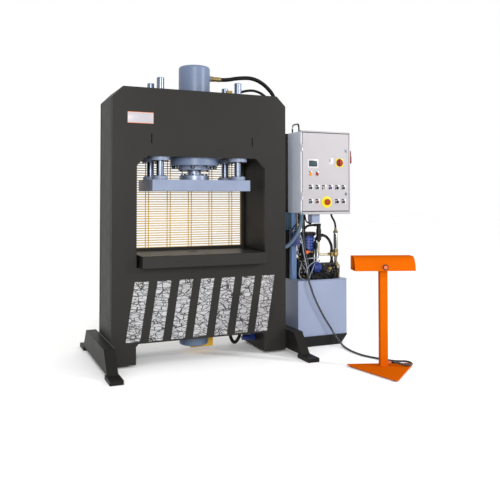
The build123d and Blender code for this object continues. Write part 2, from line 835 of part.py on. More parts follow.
# Control cabinet: a shell with a lip round its door, a cable loop on top and a junction box below
loop_x = cabinet_left + 20
loop_r = 7.0
junction = (cabinet_left + 175, cabinet_left + 270, -120.0, -30.0, 110.0)
lever_y = -150.0
lever_z = cabinet_bottom + 670
lever_shaft_r = 8.0
cord_start = (cabinet_left + 55, -125.0)
cord_gland_r = 14.0
hinge_y = door_front - hinge_r / 2
hinge_x = door_left - hinge_r - 3
hinge_zs = (door_bottom + hinge_inset, door_top - hinge_inset - 2 * knuckle)
with BuildPart() as cabinet_body:
    with BuildSketch(Plane.XZ.offset(-cabinet_front - cabinet_depth)):
        with Locations((cabinet_left, cabinet_bottom)):
            Rectangle(cabinet_width, cabinet_height, align=(Align.MIN, Align.MIN))
    extrude(amount=cabinet_depth)
    with BuildSketch(Plane.XZ.offset(-cabinet_front - cabinet_depth + sheet)):
        with Locations((cabinet_left + sheet, cabinet_bottom + sheet)):
            Rectangle(cabinet_width - 2 * sheet, cabinet_height - 2 * sheet, align=(Align.MIN, Align.MIN))
    extrude(amount=cabinet_depth - 2 * sheet, mode=Mode.SUBTRACT)
    with BuildSketch(Plane.XZ.offset(-cabinet_front)):
        with Locations((cabinet_left + lip_width, cabinet_bottom + lip_width)):
            Rectangle(cabinet_width - lip_width - strike_lip, cabinet_height - 2 * lip_width,
                      align=(Align.MIN, Align.MIN))
    extrude(amount=-sheet, mode=Mode.SUBTRACT)
    with BuildSketch(Plane.YZ.offset(cabinet_right)):
        with Locations((lever_y, lever_z)):
            Circle(lever_shaft_r + run_gap)
    extrude(amount=-sheet, mode=Mode.SUBTRACT)
    for low in hinge_zs:
        with BuildSketch(Plane.XY.offset(low)):
            with Locations((hinge_x, hinge_y)):
                Circle(hinge_r)
                Rectangle(2 * hinge_r, cabinet_front - hinge_y, align=(Align.CENTER, Align.MIN))
        extrude(amount=knuckle)
        with BuildSketch(Plane.XY.offset(low + knuckle)):
            with Locations((hinge_x, hinge_y)):
                Circle(hinge_pin_r)
        extrude(amount=knuckle)
    with BuildSketch(Plane.XY.offset(cabinet_bottom)):
        with Locations((junction[0], junction[2])):
            Rectangle(junction[1] - junction[0], junction[3] - junction[2], align=(Align.MIN, Align.MIN))
        with Locations(cord_start):
            Circle(cord_gland_r)
    extrude(amount=-gland_length)
    with BuildSketch(Plane.XY.offset(cabinet_bottom - gland_length)):
        with Locations((junction[0], junction[2])):
            Rectangle(junction[1] - junction[0], junction[3] - junction[2], align=(Align.MIN, Align.MIN))
    extrude(amount=-(junction[4] - gland_length))
    with BuildLine() as loop:
        FilletPolyline(
            (loop_x, -113, cabinet_bottom + cabinet_height),
            (loop_x, -113, cabinet_bottom + cabinet_height + 85),
            (loop_x, 37, cabinet_bottom + cabinet_height + 85),
            (loop_x, 37, cabinet_bottom + cabinet_height),
            radius=55,
        )
    with BuildSketch(Plane(origin=loop.line @ 0, z_dir=loop.line % 0)):
        Circle(loop_r)
    sweep(path=loop.line)
save(cabinet_body, "cabinet_body")

# Panel devices: column and row of each, on the door
device_rows = {"upper": cabinet_bottom + upper_row, "lower": cabinet_bottom + lower_row}
estop_at = ((columns[2] + columns[3]) / 2 - estop_shift, device_rows["lower"])
small_devices = {
    "black_upper_button": (columns[0], device_rows["upper"]),
    "green_button": (columns[1], device_rows["upper"]),
    "key_switch": (columns[2], device_rows["upper"]),
    "blue_button": (columns[3], device_rows["upper"]),
    "selector_upper": (columns[4], device_rows["upper"]),
    "black_right_button": (columns[5], device_rows["upper"]),
    "teal_button": (columns[0], device_rows["lower"]),
    "red_button": (columns[1], device_rows["lower"]),
    "estop_button": estop_at,
    "selector_lower": (columns[4], device_rows["lower"]),
    "black_lower_button": (columns[5], device_rows["lower"]),
    "main_switch_knob": (cabinet_right - switch_inset, cabinet_bottom + switch_row),
}
lamp_places = [(columns[0] - 10, cabinet_bottom + lamp_row), (columns[1] - 10, cabinet_bottom + lamp_row)]
lock_places = [(cabinet_right - lock_inset, cabinet_bottom + row) for row in lock_rows]
shank_r = 9.5
sleeve_r = device_r - slip_gap
sleeve_end = 25.0          # sleeve length behind the door's front
cap_out = 10.0
cap_start = 17.0           # cap length behind the door's front
lock_r = 12.0
lock_shank_r = 9.0
cam_depth = door_t + 2 * sheet
cam_t = 4.0
cam_half = 7.0
cam_reach = 32.0

with BuildPart() as cabinet_door:
    with BuildSketch(Plane.XZ.offset(-cabinet_front + 0.3)):
        with Locations((door_left, door_bottom)):
            Rectangle(door_right - door_left, door_top - door_bottom, align=(Align.MIN, Align.MIN))
    extrude(amount=door_t - 0.3)
    with BuildSketch(Plane.XZ.offset(-cabinet_front + 0.3)):
        with Locations((door_left + sheet, door_bottom + sheet)):
            Rectangle(door_right - door_left - 2 * sheet, door_top - door_bottom - 2 * sheet,
                      align=(Align.MIN, Align.MIN))
    extrude(amount=door_t - 0.3 - sheet, mode=Mode.SUBTRACT)
    with BuildSketch(Plane.XZ.offset(-door_front)):
        with Locations(*small_devices.values()):
            Circle(device_r)
        with Locations(*lock_places):
            Circle(lock_shank_r + run_gap)
    extrude(amount=-sheet, mode=Mode.SUBTRACT)
    for low in hinge_zs:
        with BuildSketch(Plane.XY.offset(low + knuckle + 0.3)):
            with Locations((hinge_x, hinge_y)):
                Circle(hinge_r)
                Rectangle(35, hinge_r, align=(Align.MIN, Align.CENTER))
                Circle(hinge_pin_r + run_gap, mode=Mode.SUBTRACT)
        extrude(amount=knuckle - 0.6)
save(cabinet_door, "cabinet_door")

# Fittings fixed to the door: a sleeve with a bezel for each device, lamps, a display and two plates
bezel_t = 4.0
estop_ring_r = 60.0
plate_half = 45.0
lamp_r = 20.0
fitting_t = 8.0
with BuildPart() as panel_fittings:
    with BuildSketch(Plane.XZ.offset(-door_front)):
        for name, place in small_devices.items():
            with Locations(place):
                if name == "estop_button":
                    Circle(estop_ring_r)
                elif name == "main_switch_knob":
                    Rectangle(2 * plate_half, 2 * plate_half)
                else:
                    Circle(device_r + 4)
        with Locations(*small_devices.values()):
            Circle(shank_r + run_gap, mode=Mode.SUBTRACT)
    extrude(amount=bezel_t)
    with BuildSketch(Plane.XZ.offset(-door_front - sleeve_end)):
        with Locations(*small_devices.values()):
            Circle(sleeve_r)
    extrude(amount=sleeve_end)
    with BuildSketch(Plane.XZ.offset(-door_front - sleeve_end + sheet)):
        with Locations(*small_devices.values()):
            Circle(shank_r + run_gap)
    extrude(amount=sleeve_end - sheet, mode=Mode.SUBTRACT)
    with BuildSketch(Plane.XZ.offset(-door_front)):
        with Locations(*lamp_places):
            Circle(lamp_r)
        with Locations((cabinet_left + display_in, cabinet_bottom + display_row)):
            Rectangle(display_width, display_height)
    extrude(amount=fitting_t)
save(panel_fittings, "panel_fittings")


def push_button(place, shade_r=shank_r, out=cap_out):
    """Push button sliding in its sleeve; a mushroom one has a wider head in front of the bezel."""
    with BuildPart() as made:
        with BuildSketch(Plane.XZ.offset(-door_front - cap_start)):
            with Locations(place):
                Circle(shank_r)
        extrude(amount=cap_start + out)
        if shade_r > shank_r:
            with BuildSketch(Plane.XZ.offset(-door_front + out)):
                with Locations(place):
                    Circle(shade_r)
            extrude(amount=16)
        chamfer(made.faces().sort_by(Axis.Y)[0].edges(), length=1.5)
    return made


def turn_knob(place, half_length, half_width, out=cap_out, disc_r=0.0):
    """Selector: a shank in the sleeve with a handle bar in front of it."""
    with BuildPart() as made:
        with BuildSketch(Plane.XZ.offset(-door_front - cap_start)):
            with Locations(place):
                Circle(shank_r)
        extrude(amount=cap_start + out)
        if disc_r:
            with BuildSketch(Plane.XZ.offset(-door_front + out - 5)):
                with Locations(place):
                    Circle(disc_r)
            extrude(amount=5)
        with BuildSketch(Plane.XZ.offset(-door_front + out)):
            with Locations(place):
                RectangleRounded(2 * half_width, 2 * half_length, half_width * 0.6)
        extrude(amount=14)
    return made


for name in ("black_upper_button", "green_button", "blue_button", "black_right_button",
             "teal_button", "red_button", "black_lower_button"):
    save(push_button(small_devices[name]), name)
save(push_button(small_devices["estop_button"], shade_r=33.0, out=14.0), "estop_button")
save(turn_knob(small_devices["selector_upper"], 13.0, 4.0), "selector_upper")
save(turn_knob(small_devices["selector_lower"], 13.0, 4.0), "selector_lower")
save(turn_knob(small_devices["key_switch"], 12.0, 2.0, out=6.0), "key_switch")
save(turn_knob(small_devices["main_switch_knob"], 32.0, 9.0, out=12.0, disc_r=34.0), "main_switch_knob")

# Cam locks, drawn with the cam upright, which leaves the door free
for name, place in (("lower_lock", lock_places[0]), ("upper_lock", lock_places[1])):
    with BuildPart() as lock:
        with BuildSketch(Plane.XZ.offset(-door_front + 0.3)):
            with Locations(place):
                Circle(lock_r)
                Rectangle(1.6, 12, mode=Mode.SUBTRACT)
        extrude(amount=6)
        with BuildSketch(Plane.XZ.offset(-door_front - cam_depth - cam_t)):
            with Locations(place):
                Circle(lock_shank_r)
        extrude(amount=cam_depth + cam_t + 0.3)
        with BuildSketch(Plane.XZ.offset(-door_front - cam_depth - cam_t)):
            with Locations(place):
                Rectangle(2 * cam_half, cam_reach, align=(Align.CENTER, Align.MIN))
        extrude(amount=cam_t)
    save(lock, name)

# Isolator lever on the cabinet's right side
lever_length = 112.0
lever_t = 12.0
with BuildPart() as side_lever:
    with BuildSketch(Plane.YZ.offset(cabinet_right - 2 * sheet)):
        with Locations((lever_y, lever_z)):
            Circle(lever_shaft_r)
    extrude(amount=2 * sheet + 1)
    with BuildSketch(Plane.YZ.offset(cabinet_right + 0.3)):
        with Locations((lever_y, lever_z)):
            Circle(20)
    extrude(amount=14)
    with BuildSketch(Plane.YZ.offset(cabinet_right + 14.3)):
        with Locations((lever_y, lever_z)):
            Circle(14)
            Rectangle(18, lever_length, align=(Align.CENTER, Align.MAX))
    extrude(amount=lever_t)
save(side_lever, "side_lever")

# Hydraulic unit: tank on skids, lid, post, motor with pump bell, valves, switch and pipework
tank_right = tank_left + tank_width
tank_back = tank_front + tank_depth
with BuildPart() as tank:
    with BuildSketch(Plane.XY.offset(skid_height)):
        with Locations((tank_left, tank_front)):
            Rectangle(tank_width, tank_depth, align=(Align.MIN, Align.MIN))
    extrude(amount=tank_height)
    with BuildSketch(Plane.XY.offset(skid_height + tank_sheet)):
        with Locations((tank_left + tank_sheet, tank_front + tank_sheet)):
            Rectangle(tank_width - 2 * tank_sheet, tank_depth - 2 * tank_sheet,
                      align=(Align.MIN, Align.MIN))
    extrude(amount=tank_height - tank_sheet, mode=Mode.SUBTRACT)
save(tank, "tank")

with BuildPart() as tank_lid:
    with BuildSketch(Plane.XY.offset(lid_bottom)):
        with Locations((tank_left - lid_over, tank_front - lid_over)):
            Rectangle(tank_width + 2 * lid_over, tank_depth + 2 * lid_over, align=(Align.MIN, Align.MIN))
    extrude(amount=lid_t)
save(tank_lid, "tank_lid")

with BuildPart() as skids:
    for back in (tank_front - skid_out + skid_width, tank_back + skid_out):
        with BuildSketch(Plane.XZ.offset(-back)):
            with BuildLine():
                Polyline(
                    (tank_left + skid_chamfer, 0),
                    (tank_right - skid_chamfer, 0),
                    (tank_right, skid_height),
                    (tank_left, skid_height),
                    close=True,
                )
            make_face()
        extrude(amount=skid_width)
save(skids, "skids")

post_front = post_y - post_size / 2
with BuildPart() as cabinet_post:
    with BuildSketch(Plane.XY.offset(lid_top)):
        with Locations((post_x, post_y)):
            Rectangle(post_size, post_size)
    extrude(amount=cabinet_bottom - lid_top)
    with BuildSketch(Plane.XY.offset(cabinet_bottom - arm_height)):
        with Locations((wall_x, post_y)):
            Rectangle(post_x - wall_x, post_size - 20, align=(Align.MIN, Align.CENTER))
    extrude(amount=arm_height)
save(cabinet_post, "cabinet_post")

with BuildPart() as pump_motor:
    with BuildSketch(Plane.XY.offset(lid_top)):
        with Locations((motor_x, motor_y)):
            Circle(bell_r)
    extrude(amount=bell_top - lid_top)
    with BuildSketch(Plane.XY.offset(bell_top)):
        with Locations((motor_x, motor_y)):
            Circle(motor_r - 8)
            with PolarLocations(motor_r - 4, fins):
                Rectangle(16, 7)
    extrude(amount=motor_top - bell_top)
    with BuildSketch(Plane.XY.offset(motor_top)):
        with Locations((motor_x, motor_y)):
            Circle(cowl_r)
    extrude(amount=cowl_t)
    chamfer(pump_motor.faces().sort_by(Axis.Z)[-1].edges(), length=10)
save(pump_motor, "pump_motor")

motor_left = tank_left + small_motor_in
manifold_left = motor_left + small_motor_length
small_base_left = tank_left + small_base_in
small_base_right = manifold_left + manifold_width
small_z = lid_top + small_base_t + small_motor_r - 3
with BuildPart() as circulation_motor:
    with BuildSketch(Plane.XY.offset(lid_top)):
        with Locations((small_base_left, small_base_front)):
            Rectangle(small_base_right - small_base_left, small_base_depth,
                      align=(Align.MIN, Align.MIN))
    extrude(amount=small_base_t)
    with BuildSketch(Plane.YZ.offset(motor_left)):
        with Locations((small_motor_y, small_z)):
            Circle(small_motor_r - 4)
            with PolarLocations(small_motor_r - 4, fins):
                Rectangle(8, 6)
    extrude(amount=manifold_left - motor_left)
save(circulation_motor, "circulation_motor")

# Valves: the block beside the small motor with its port ring, the stack on the post and its gauge
manifold_top = lid_top + small_base_t + manifold_height
stack_left = tank_left + stack_left_in
stack_right = stack_left + stack_width
filter_x = tank_left + filter_in
filter_port_z = filter_low + filter_port_up
arch_port_z = filter_low + arch_port_up
tee_x = tank_left + tee_in
tee_top = tee_bottom + tee_height
with BuildPart() as valve_manifold:
    with BuildSketch(Plane.XY.offset(lid_top + small_base_t)):
        with Locations((manifold_left, manifold_front)):
            Rectangle(manifold_width, manifold_depth, align=(Align.MIN, Align.MIN))
    extrude(amount=manifold_height)
    stub((manifold_left + manifold_ring_in, manifold_front, small_z), (0, -1, 0), 20, 38, 22)
    stub((manifold_left + manifold_ring_in, manifold_front, small_z), (0, -1, 0), 12, 14)
    with BuildSketch(Plane.XY.offset(stack_bottom)):
        with Locations((stack_left, post_front - stack_depth)):
            Rectangle(stack_width, stack_depth, align=(Align.MIN, Align.MIN))
    extrude(amount=stack_height)
    stub((post_x + post_size / 2, -25, gauge_z), (1, 0, 0), 20, 8)
    stub((post_x + post_size / 2 + 36, -12, gauge_z), (0, -1, 0), 34, 32)
    with BuildSketch(Plane.XY.offset(filter_low)):
        with Locations((filter_x, filter_y)):
            Circle(filter_r)
    extrude(amount=filter_height)
    stub((filter_x, filter_y, filter_port_z), (1, 0, 0), filter_port, 15)
    stub((filter_x, filter_y, arch_port_z), (-1, 0, 0), filter_port, 15)
    with BuildSketch(Plane.XY.offset(tee_bottom)):
        with Locations((tee_x, tee_y)):
            Circle(tee_r)
    extrude(amount=tee_height)
    with BuildSketch(Plane.XY.offset(lid_top)):
        with Locations((tank_left + control_block_in, 0)):
            Rectangle(control_block_width, control_block_depth, align=(Align.MIN, Align.CENTER))
    extrude(amount=control_block_height)
save(valve_manifold, "valve_manifold")

switch_low = lid_top + switch_foot
switch_collar = switch_low + switch_neck
switch_body = switch_collar + switch_nut
switch_top = switch_body + switch_tube
with BuildPart() as pressure_switch:
    for low, high, radius in (
        (lid_top, switch_low, 26.0),
        (switch_low, switch_collar, 17.0),
        (switch_collar, switch_body, 30.0),
        (switch_body, switch_top, 24.0),
        (switch_top, switch_top + switch_cap, 28.0),
    ):
        with BuildSketch(Plane.XY.offset(low)):
            with Locations((switch_x, switch_y)):
                Circle(radius)
        extrude(amount=high - low)
save(pressure_switch, "pressure_switch")

# Pipework: each run ends face to face on the piece it serves
unit = tank_left
pipe_runs = {
    "arch hose": (13.0, [
        (stack_right, filter_y, 1130), (unit + 110, filter_y, 1130), (unit + 119, filter_y, 1215),
        (unit + 167, filter_y, 1276), (unit + 225, filter_y, arch_port_z),
        (filter_x - filter_port, filter_y, arch_port_z),
    ]),
    "side hose": (15.0, [
        (filter_x + filter_port, filter_y, filter_port_z), (unit + 391, filter_y, filter_port_z),
        (unit + 440, -88, 1130), (unit + 471, -94, 1065), (tee_x, tee_y, 1030), (tee_x, tee_y, tee_top),
    ]),
    "drop hose": (15.0, [
        (tee_x, tee_y, tee_bottom), (tee_x, tee_y, manifold_top),
    ]),
    "steel pipe": (13.0, [
        (filter_x, filter_y, filter_low), (filter_x, filter_y, 960), (tee_x - tee_r - 0.5, filter_y, 960),
    ]),
    "feed hose": (22.0, [
        (unit + 22, 100, lid_top), (unit + 22, 100, 1080), (unit - 40, 100, 1185), (wall_x, 100, 1185),
    ]),
    "drain hose": (18.0, [
        (unit + 66, 130, lid_top), (unit + 66, 130, 1010), (unit - 30, 130, 1110), (wall_x, 130, 1110),
    ]),
    "switch hose": (11.0, [
        (switch_x, switch_y, switch_top + switch_cap), (switch_x, switch_y, 1290),
        (switch_x - 30, switch_y, 1345), (switch_x - 55, switch_y, 1378),
        (switch_x - 55, switch_y, cabinet_bottom),
    ]),
    "conduit": (20.0, [
        (unit + 65, -156, cabinet_bottom), (unit + 65, -156, 1330), (unit + 37, -156, 1240),
        (unit - 11, -156, 1160), (unit - 70, -156, 1095), (unit - 130, -156, 1052), (wall_x, -156, 1052),
    ]),
    "bed pipe": (17.0, [
        (372, -60, beam_bottom), (372, -60, 165), (402, -60, 100), (428, -60, 88), (455, -60, 108),
        (488, -60, 165), (488, -60, beam_bottom),
    ]),
}
with BuildPart() as hydraulic_pipes:
    for radius, points in pipe_runs.values():
        with BuildLine() as run:
            if len(points) > 2:
                FilletPolyline(*points, radius=corner_radii(points, 0.4))
            else:
                Line(*points)
        with BuildSketch(Plane(origin=run.line @ 0, z_dir=run.line % 0)):
            Circle(radius)
        sweep(path=run.line)
save(hydraulic_pipes, "hydraulic_pipes")

# Pedestal, drawn in its own turned plane: the triangular base, the post and the hood
side_height = base_side * sqrt(3) / 2
base_points = [
    (base_shift - base_side / 2, base_rear),
    (base_shift + base_side / 2, base_rear),
    (base_shift, base_rear - side_height),
]
base_centre = (base_shift, base_rear - side_height / 3)
gland_z = 50.0
post_half = stand_tube / 2
with BuildPart() as pedestal_stand:
    with BuildSketch(pedestal.offset(pad_h)) as base_sketch:
        with BuildLine():
            Polyline(*base_points, close=True)
        make_face()
        fillet(base_sketch.vertices(), base_corner)
    extrude(amount=base_t)
    with BuildSketch(pedestal.offset(pad_h + base_t)):
        Rectangle(stand_tube, stand_tube)
        Rectangle(stand_tube - 2 * stand_wall, stand_tube - 2 * stand_wall, mode=Mode.SUBTRACT)
    extrude(amount=head_bottom - pad_h - base_t)
    with BuildSketch(pedestal.offset(head_bottom)):
        Rectangle(stand_tube + 40, stand_tube + 20)
    extrude(amount=-6)
    gland_start = pedestal.from_local_coords((post_half, 0, gland_z))
    with BuildSketch(Plane(origin=gland_start, z_dir=pedestal.x_dir)):
        Circle(cord_gland_r)
    extrude(amount=post_half)
save(pedestal_stand, "pedestal_stand")

with BuildPart() as pedestal_feet:
    with BuildSketch(pedestal):
        for corner in base_points:
            away = hypot(corner[0] - base_centre[0], corner[1] - base_centre[1])
            share = 1 - pad_inset / away
            spot_x = base_centre[0] + share * (corner[0] - base_centre[0])
            spot_y = base_centre[1] + share * (corner[1] - base_centre[1])
            with Locations((spot_x, spot_y)):
                Circle(pad_r)
    extrude(amount=pad_h)
save(pedestal_feet, "pedestal_feet")


def head_plane(local_x):
    """Plane across the hood at a place along it; its own x runs to the hood's back."""
    return Plane(
        origin=pedestal.from_local_coords((local_x, 0, 0)),
        x_dir=pedestal.y_dir,
        z_dir=pedestal.x_dir,
    )


head_back = 90.0
palm_side = palm_wall_x + head_sheet
palm_z = 968.0
palm_y = 20.0
palm_cap = 15.0
centre_z = 941.0
centre_depth = 78.0        # where the centre button's housing starts inside the hood
centre_out = 98.0
centre_ring_r = 27.0
centre_r = 18.0
with BuildPart() as pedestal_head:
    hollow = ((0.0, Mode.ADD), (head_sheet, Mode.SUBTRACT))
    solid = ((head_sheet / 2, Mode.ADD),)
    for start, length, insets in (
        (-head_length / 2, head_length, hollow),
        (-palm_wall_x - head_sheet, head_sheet, solid),
        (palm_wall_x, head_sheet, solid),
    ):
        with BuildSketch(head_plane(start)):
            for inset, way in insets:
                low = head_bottom + inset
                high = head_top - inset
                with BuildLine():
                    Polyline(
                        (inset - head_depth + head_back, low),
                        (head_back - inset, low),
                        (head_back - inset, high),
                        (0, high),
                    )
                    EllipticalCenterArc((0, low), head_depth - head_back - inset, high - low,
                                        start_angle=90, arc_size=90)
                make_face(mode=way)
        extrude(amount=length)
    for start, way in ((-palm_wall_x, -1), (palm_wall_x, 1)):
        with BuildSketch(head_plane(start - way * 30)):
            with Locations((palm_y, palm_z)):
                Circle(palm_r - 6)
        extrude(amount=way * (30 + head_sheet + 2))
        with BuildSketch(head_plane(start + way * (head_sheet + 2))):
            with Locations((palm_y, palm_z)):
                Circle(shank_r + run_gap)
        extrude(amount=-way * 30, mode=Mode.SUBTRACT)
    with BuildSketch(Plane(origin=pedestal.from_local_coords((0, -centre_depth, centre_z)),
                           x_dir=pedestal.x_dir, z_dir=-pedestal.y_dir)):
        Circle(centre_ring_r)
    extrude(amount=centre_out - centre_depth)
    with BuildSketch(Plane(origin=pedestal.from_local_coords((0, -centre_out, centre_z)),
                           x_dir=pedestal.x_dir, z_dir=-pedestal.y_dir)):
        Circle(centre_r + run_gap)
    extrude(amount=-16, mode=Mode.SUBTRACT)
save(pedestal_head, "pedestal_head")

for name, way in (("left_palm_button", -1), ("right_palm_button", 1)):
    with BuildPart() as palm_button:
        with BuildSketch(head_plane(way * (palm_wall_x - 15))):
            with Locations((palm_y, palm_z)):
                Circle(shank_r)
        extrude(amount=way * (15 + head_sheet + 2 + palm_travel + 2))
        with BuildSketch(head_plane(way * (palm_side + 4 + palm_travel))):
            with Locations((palm_y, palm_z)):
                Circle(palm_r)
        extrude(amount=way * palm_cap)
        outer = palm_button.faces().sort_by(Axis(pedestal.origin, pedestal.x_dir))[-1 if way > 0 else 0]
        fillet(outer.edges(), 6)
    save(palm_button, name)

with BuildPart() as centre_button:
    with BuildSketch(Plane(origin=pedestal.from_local_coords((0, -centre_out + 12, centre_z)),
                           x_dir=pedestal.x_dir, z_dir=-pedestal.y_dir)):
        Circle(centre_r)
    extrude(amount=12 + 4)
save(centre_button, "centre_button")


# Cord of the pedestal: down from the cabinet, past the tank's edge, over the floor, round to the post
def by_pedestal(local_x, local_y, height):
    """Point of the pedestal's own frame."""
    point = pedestal.from_local_coords((local_x, local_y, height))
    return (point.X, point.Y, point.Z)


cord_points = [
    (cord_start[0], cord_start[1], cabinet_bottom - gland_length),
    (cord_start[0], cord_start[1], 1300),
    (1196, -126, 1180),
    (1208, -128, 1070),
    (1221, -133, 985),
    (1237, -146, 905),
    (1236, -168, 830),
    (1221, -198, 762),
    (1203, -234, 705),
    (1222, -245, 640),
    (1250, -243, 562),
    (1286, -242, 486),
    (1328, -243, 405),
    (1375, -242, 324),
    (1425, -244, 246),
    (1477, -246, 170),
    (1517, -260, 98),
    (1546, -296, 42),
    (1547, -352, 14),
    (1534, -425, 10),
    (1516, -510, 10),
    (1506, -600, 10),
    (1507, -690, 10),
    (1518, -778, 10),
    (1545, -862, 10),
    (1586, -940, 10),
    (1630, -1016, 10),
    (1668, -1096, 12),
    (1702, -1210, 37),
    (1713, -1278, 37),
    (1684, -1325, 36),
    (1630, -1336, 35),
    (1585, -1304.4, 42),
    by_pedestal(2 * post_half + 48, 0, gland_z),
    by_pedestal(2 * post_half, 0, gland_z),
]
cord_bends = corner_radii(cord_points)
print("pedestal cord arcs", [round(r) for r in cord_bends])
pedestal_cord = tube(cord_points, cord_bends, cord_d / 2)
save(pedestal_cord, "pedestal_cord")
cord_run = sum(edge.length for edge in [Edge.make_line(a, b) for a, b in zip(cord_points, cord_points[1:])])
print("pedestal cord about", round(cord_run), "mm, volume over section",
      round(pedestal_cord.part.volume / (pi * (cord_d / 2) ** 2)))
for made, radius, name in ((pressure_hose, hose_d / 2, "pressure"), (return_hose, return_d / 2, "return")):
    print(name, "hose volume over section", round(made.part.volume / (pi * radius ** 2)))
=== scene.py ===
import bpy
import bmesh
from itertools import product
from math import cos, pi, radians, sin
from mathutils import Matrix, Vector


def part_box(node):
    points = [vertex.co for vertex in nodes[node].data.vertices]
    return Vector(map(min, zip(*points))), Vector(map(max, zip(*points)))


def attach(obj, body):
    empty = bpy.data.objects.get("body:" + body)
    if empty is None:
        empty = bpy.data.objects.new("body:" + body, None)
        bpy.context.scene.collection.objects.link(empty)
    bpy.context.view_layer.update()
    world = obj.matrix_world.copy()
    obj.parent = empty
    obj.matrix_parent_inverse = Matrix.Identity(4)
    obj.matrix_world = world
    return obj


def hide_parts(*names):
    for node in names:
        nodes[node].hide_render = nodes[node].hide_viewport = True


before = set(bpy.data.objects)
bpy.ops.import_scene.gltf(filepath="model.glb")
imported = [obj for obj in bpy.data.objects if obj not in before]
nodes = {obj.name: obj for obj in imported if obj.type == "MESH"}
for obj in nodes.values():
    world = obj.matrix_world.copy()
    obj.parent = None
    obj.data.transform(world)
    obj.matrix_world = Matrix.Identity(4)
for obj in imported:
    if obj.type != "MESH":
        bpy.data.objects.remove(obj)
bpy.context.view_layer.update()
scene = bpy.context.scene
scene.view_settings.view_transform = "Standard"

# Camera at the photograph's angle
camera_data = bpy.data.cameras.new("camera")
camera_data.sensor_width = 36.0
camera_data.lens = 45.554
camera_data.shift_x = 0.01342
camera_data.shift_y = -0.13996
camera_data.clip_end = 200.0
camera = bpy.data.objects.new("camera", camera_data)
camera.location = (-2.1015, -6.1431, 1.5796)
camera.rotation_euler = (radians(91.628), 0, radians(-23.335))
scene.collection.objects.link(camera)
scene.camera = camera


# Materials
def linear(rgb):
    """Display colour from 0 to 255 as linear light."""
    out = []
    for v in rgb:
        v = v / 255.0
        out.append(v / 12.92 if v <= 0.04045 else ((v + 0.055) / 1.055) ** 2.4)
    return out


def add_node(tree, kind, **inputs):
    """New shader node; each input takes a value, or a link where it is given a socket."""
    made = tree.nodes.new("ShaderNode" + kind)
    for name, value in inputs.items():
        socket = made.inputs[name.replace("_", " ")]
        if isinstance(value, bpy.types.NodeSocket):
            tree.links.new(value, socket)
        else:
            socket.default_value = value
    return made


def surface(name, rgb, rough=0.45, metal=0.0, spread=0.06, scale=3.0, grain=0.05, grain_scale=180.0,
            stretch=(1, 1, 1), rough_spread=0.06, gleam=0.5):
    """Procedural finish: cloudy colour, uneven gloss and a fine bump."""
    mat = bpy.data.materials.new(name)
    mat.use_nodes = True
    tree = mat.node_tree
    shader = tree.nodes["Principled BSDF"]
    shader.inputs["Metallic"].default_value = metal
    shader.inputs["Specular IOR Level"].default_value = gleam
    base = linear(rgb)
    place = add_node(tree, "TexCoord")
    at = add_node(tree, "Mapping", Vector=place.outputs["Object"], Scale=stretch).outputs["Vector"]
    cloud = add_node(tree, "TexNoise", Vector=at, Scale=scale, Detail=6.0, Roughness=0.6)
    ramp = add_node(tree, "ValToRGB", Fac=cloud.outputs["Fac"])
    dark, pale = ramp.color_ramp.elements
    dark.position, pale.position = 0.3, 0.7
    dark.color = [max(0, v * (1 - spread)) for v in base] + [1]
    pale.color = [min(1, v * (1 + spread)) for v in base] + [1]
    tree.links.new(ramp.outputs["Color"], shader.inputs["Base Color"])
    patch = add_node(tree, "TexNoise", Vector=at, Scale=scale * 5, Detail=4.0)
    gloss = add_node(tree, "MapRange", Value=patch.outputs["Fac"], To_Min=max(0.03, rough - rough_spread),
                     To_Max=min(1.0, rough + rough_spread))
    tree.links.new(gloss.outputs["Result"], shader.inputs["Roughness"])
    fine = add_node(tree, "TexNoise", Vector=at, Scale=grain_scale, Detail=3.0)
    bump = add_node(tree, "Bump", Height=fine.outputs["Fac"], Strength=grain, Distance=0.002)
    tree.links.new(bump.outputs["Normal"], shader.inputs["Normal"])
    return mat


def scratched(name, silver, dark):
    """Silver film crossed by thin dark scratches in several directions."""
    mat = surface(name, silver, rough=0.42, metal=0.25, spread=0.1, scale=2.5)
    tree = mat.node_tree
    place = add_node(tree, "TexCoord")
    # Slope in degrees, cells along and across it, and the share of a cell that stays dark
    scratches = (
        (-24, 6.0, 24.0, 0.026), (31, 7.0, 21.0, 0.024), (64, 8.0, 19.0, 0.026), (-58, 9.0, 22.0, 0.02),
    )
    bare = None
    for slope, along, across, width in scratches:
        turned = add_node(tree, "Mapping", Vector=place.outputs["Object"], Rotation=(0, radians(slope), 0),
                          Scale=(along, 1.0, across))
        cells = add_node(tree, "TexVoronoi", Vector=turned.outputs["Vector"], Scale=1.0)
        cells.feature = "DISTANCE_TO_EDGE"
        clear = tree.nodes.new("ShaderNodeMath")
        clear.operation = "GREATER_THAN"
        clear.inputs[1].default_value = width
        tree.links.new(cells.outputs["Distance"], clear.inputs[0])
        if bare is None:
            bare = clear.outputs["Value"]
            continue
        both = tree.nodes.new("ShaderNodeMath")
        both.operation = "MULTIPLY"
        tree.links.new(bare, both.inputs[0])
        tree.links.new(clear.outputs["Value"], both.inputs[1])
        bare = both.outputs["Value"]
    ramp = add_node(tree, "ValToRGB", Fac=bare)
    ramp.color_ramp.elements[0].color = linear(dark) + [1]
    ramp.color_ramp.elements[1].color = linear(silver) + [1]
    tree.links.new(ramp.outputs["Color"], tree.nodes["Principled BSDF"].inputs["Base Color"])
    return mat


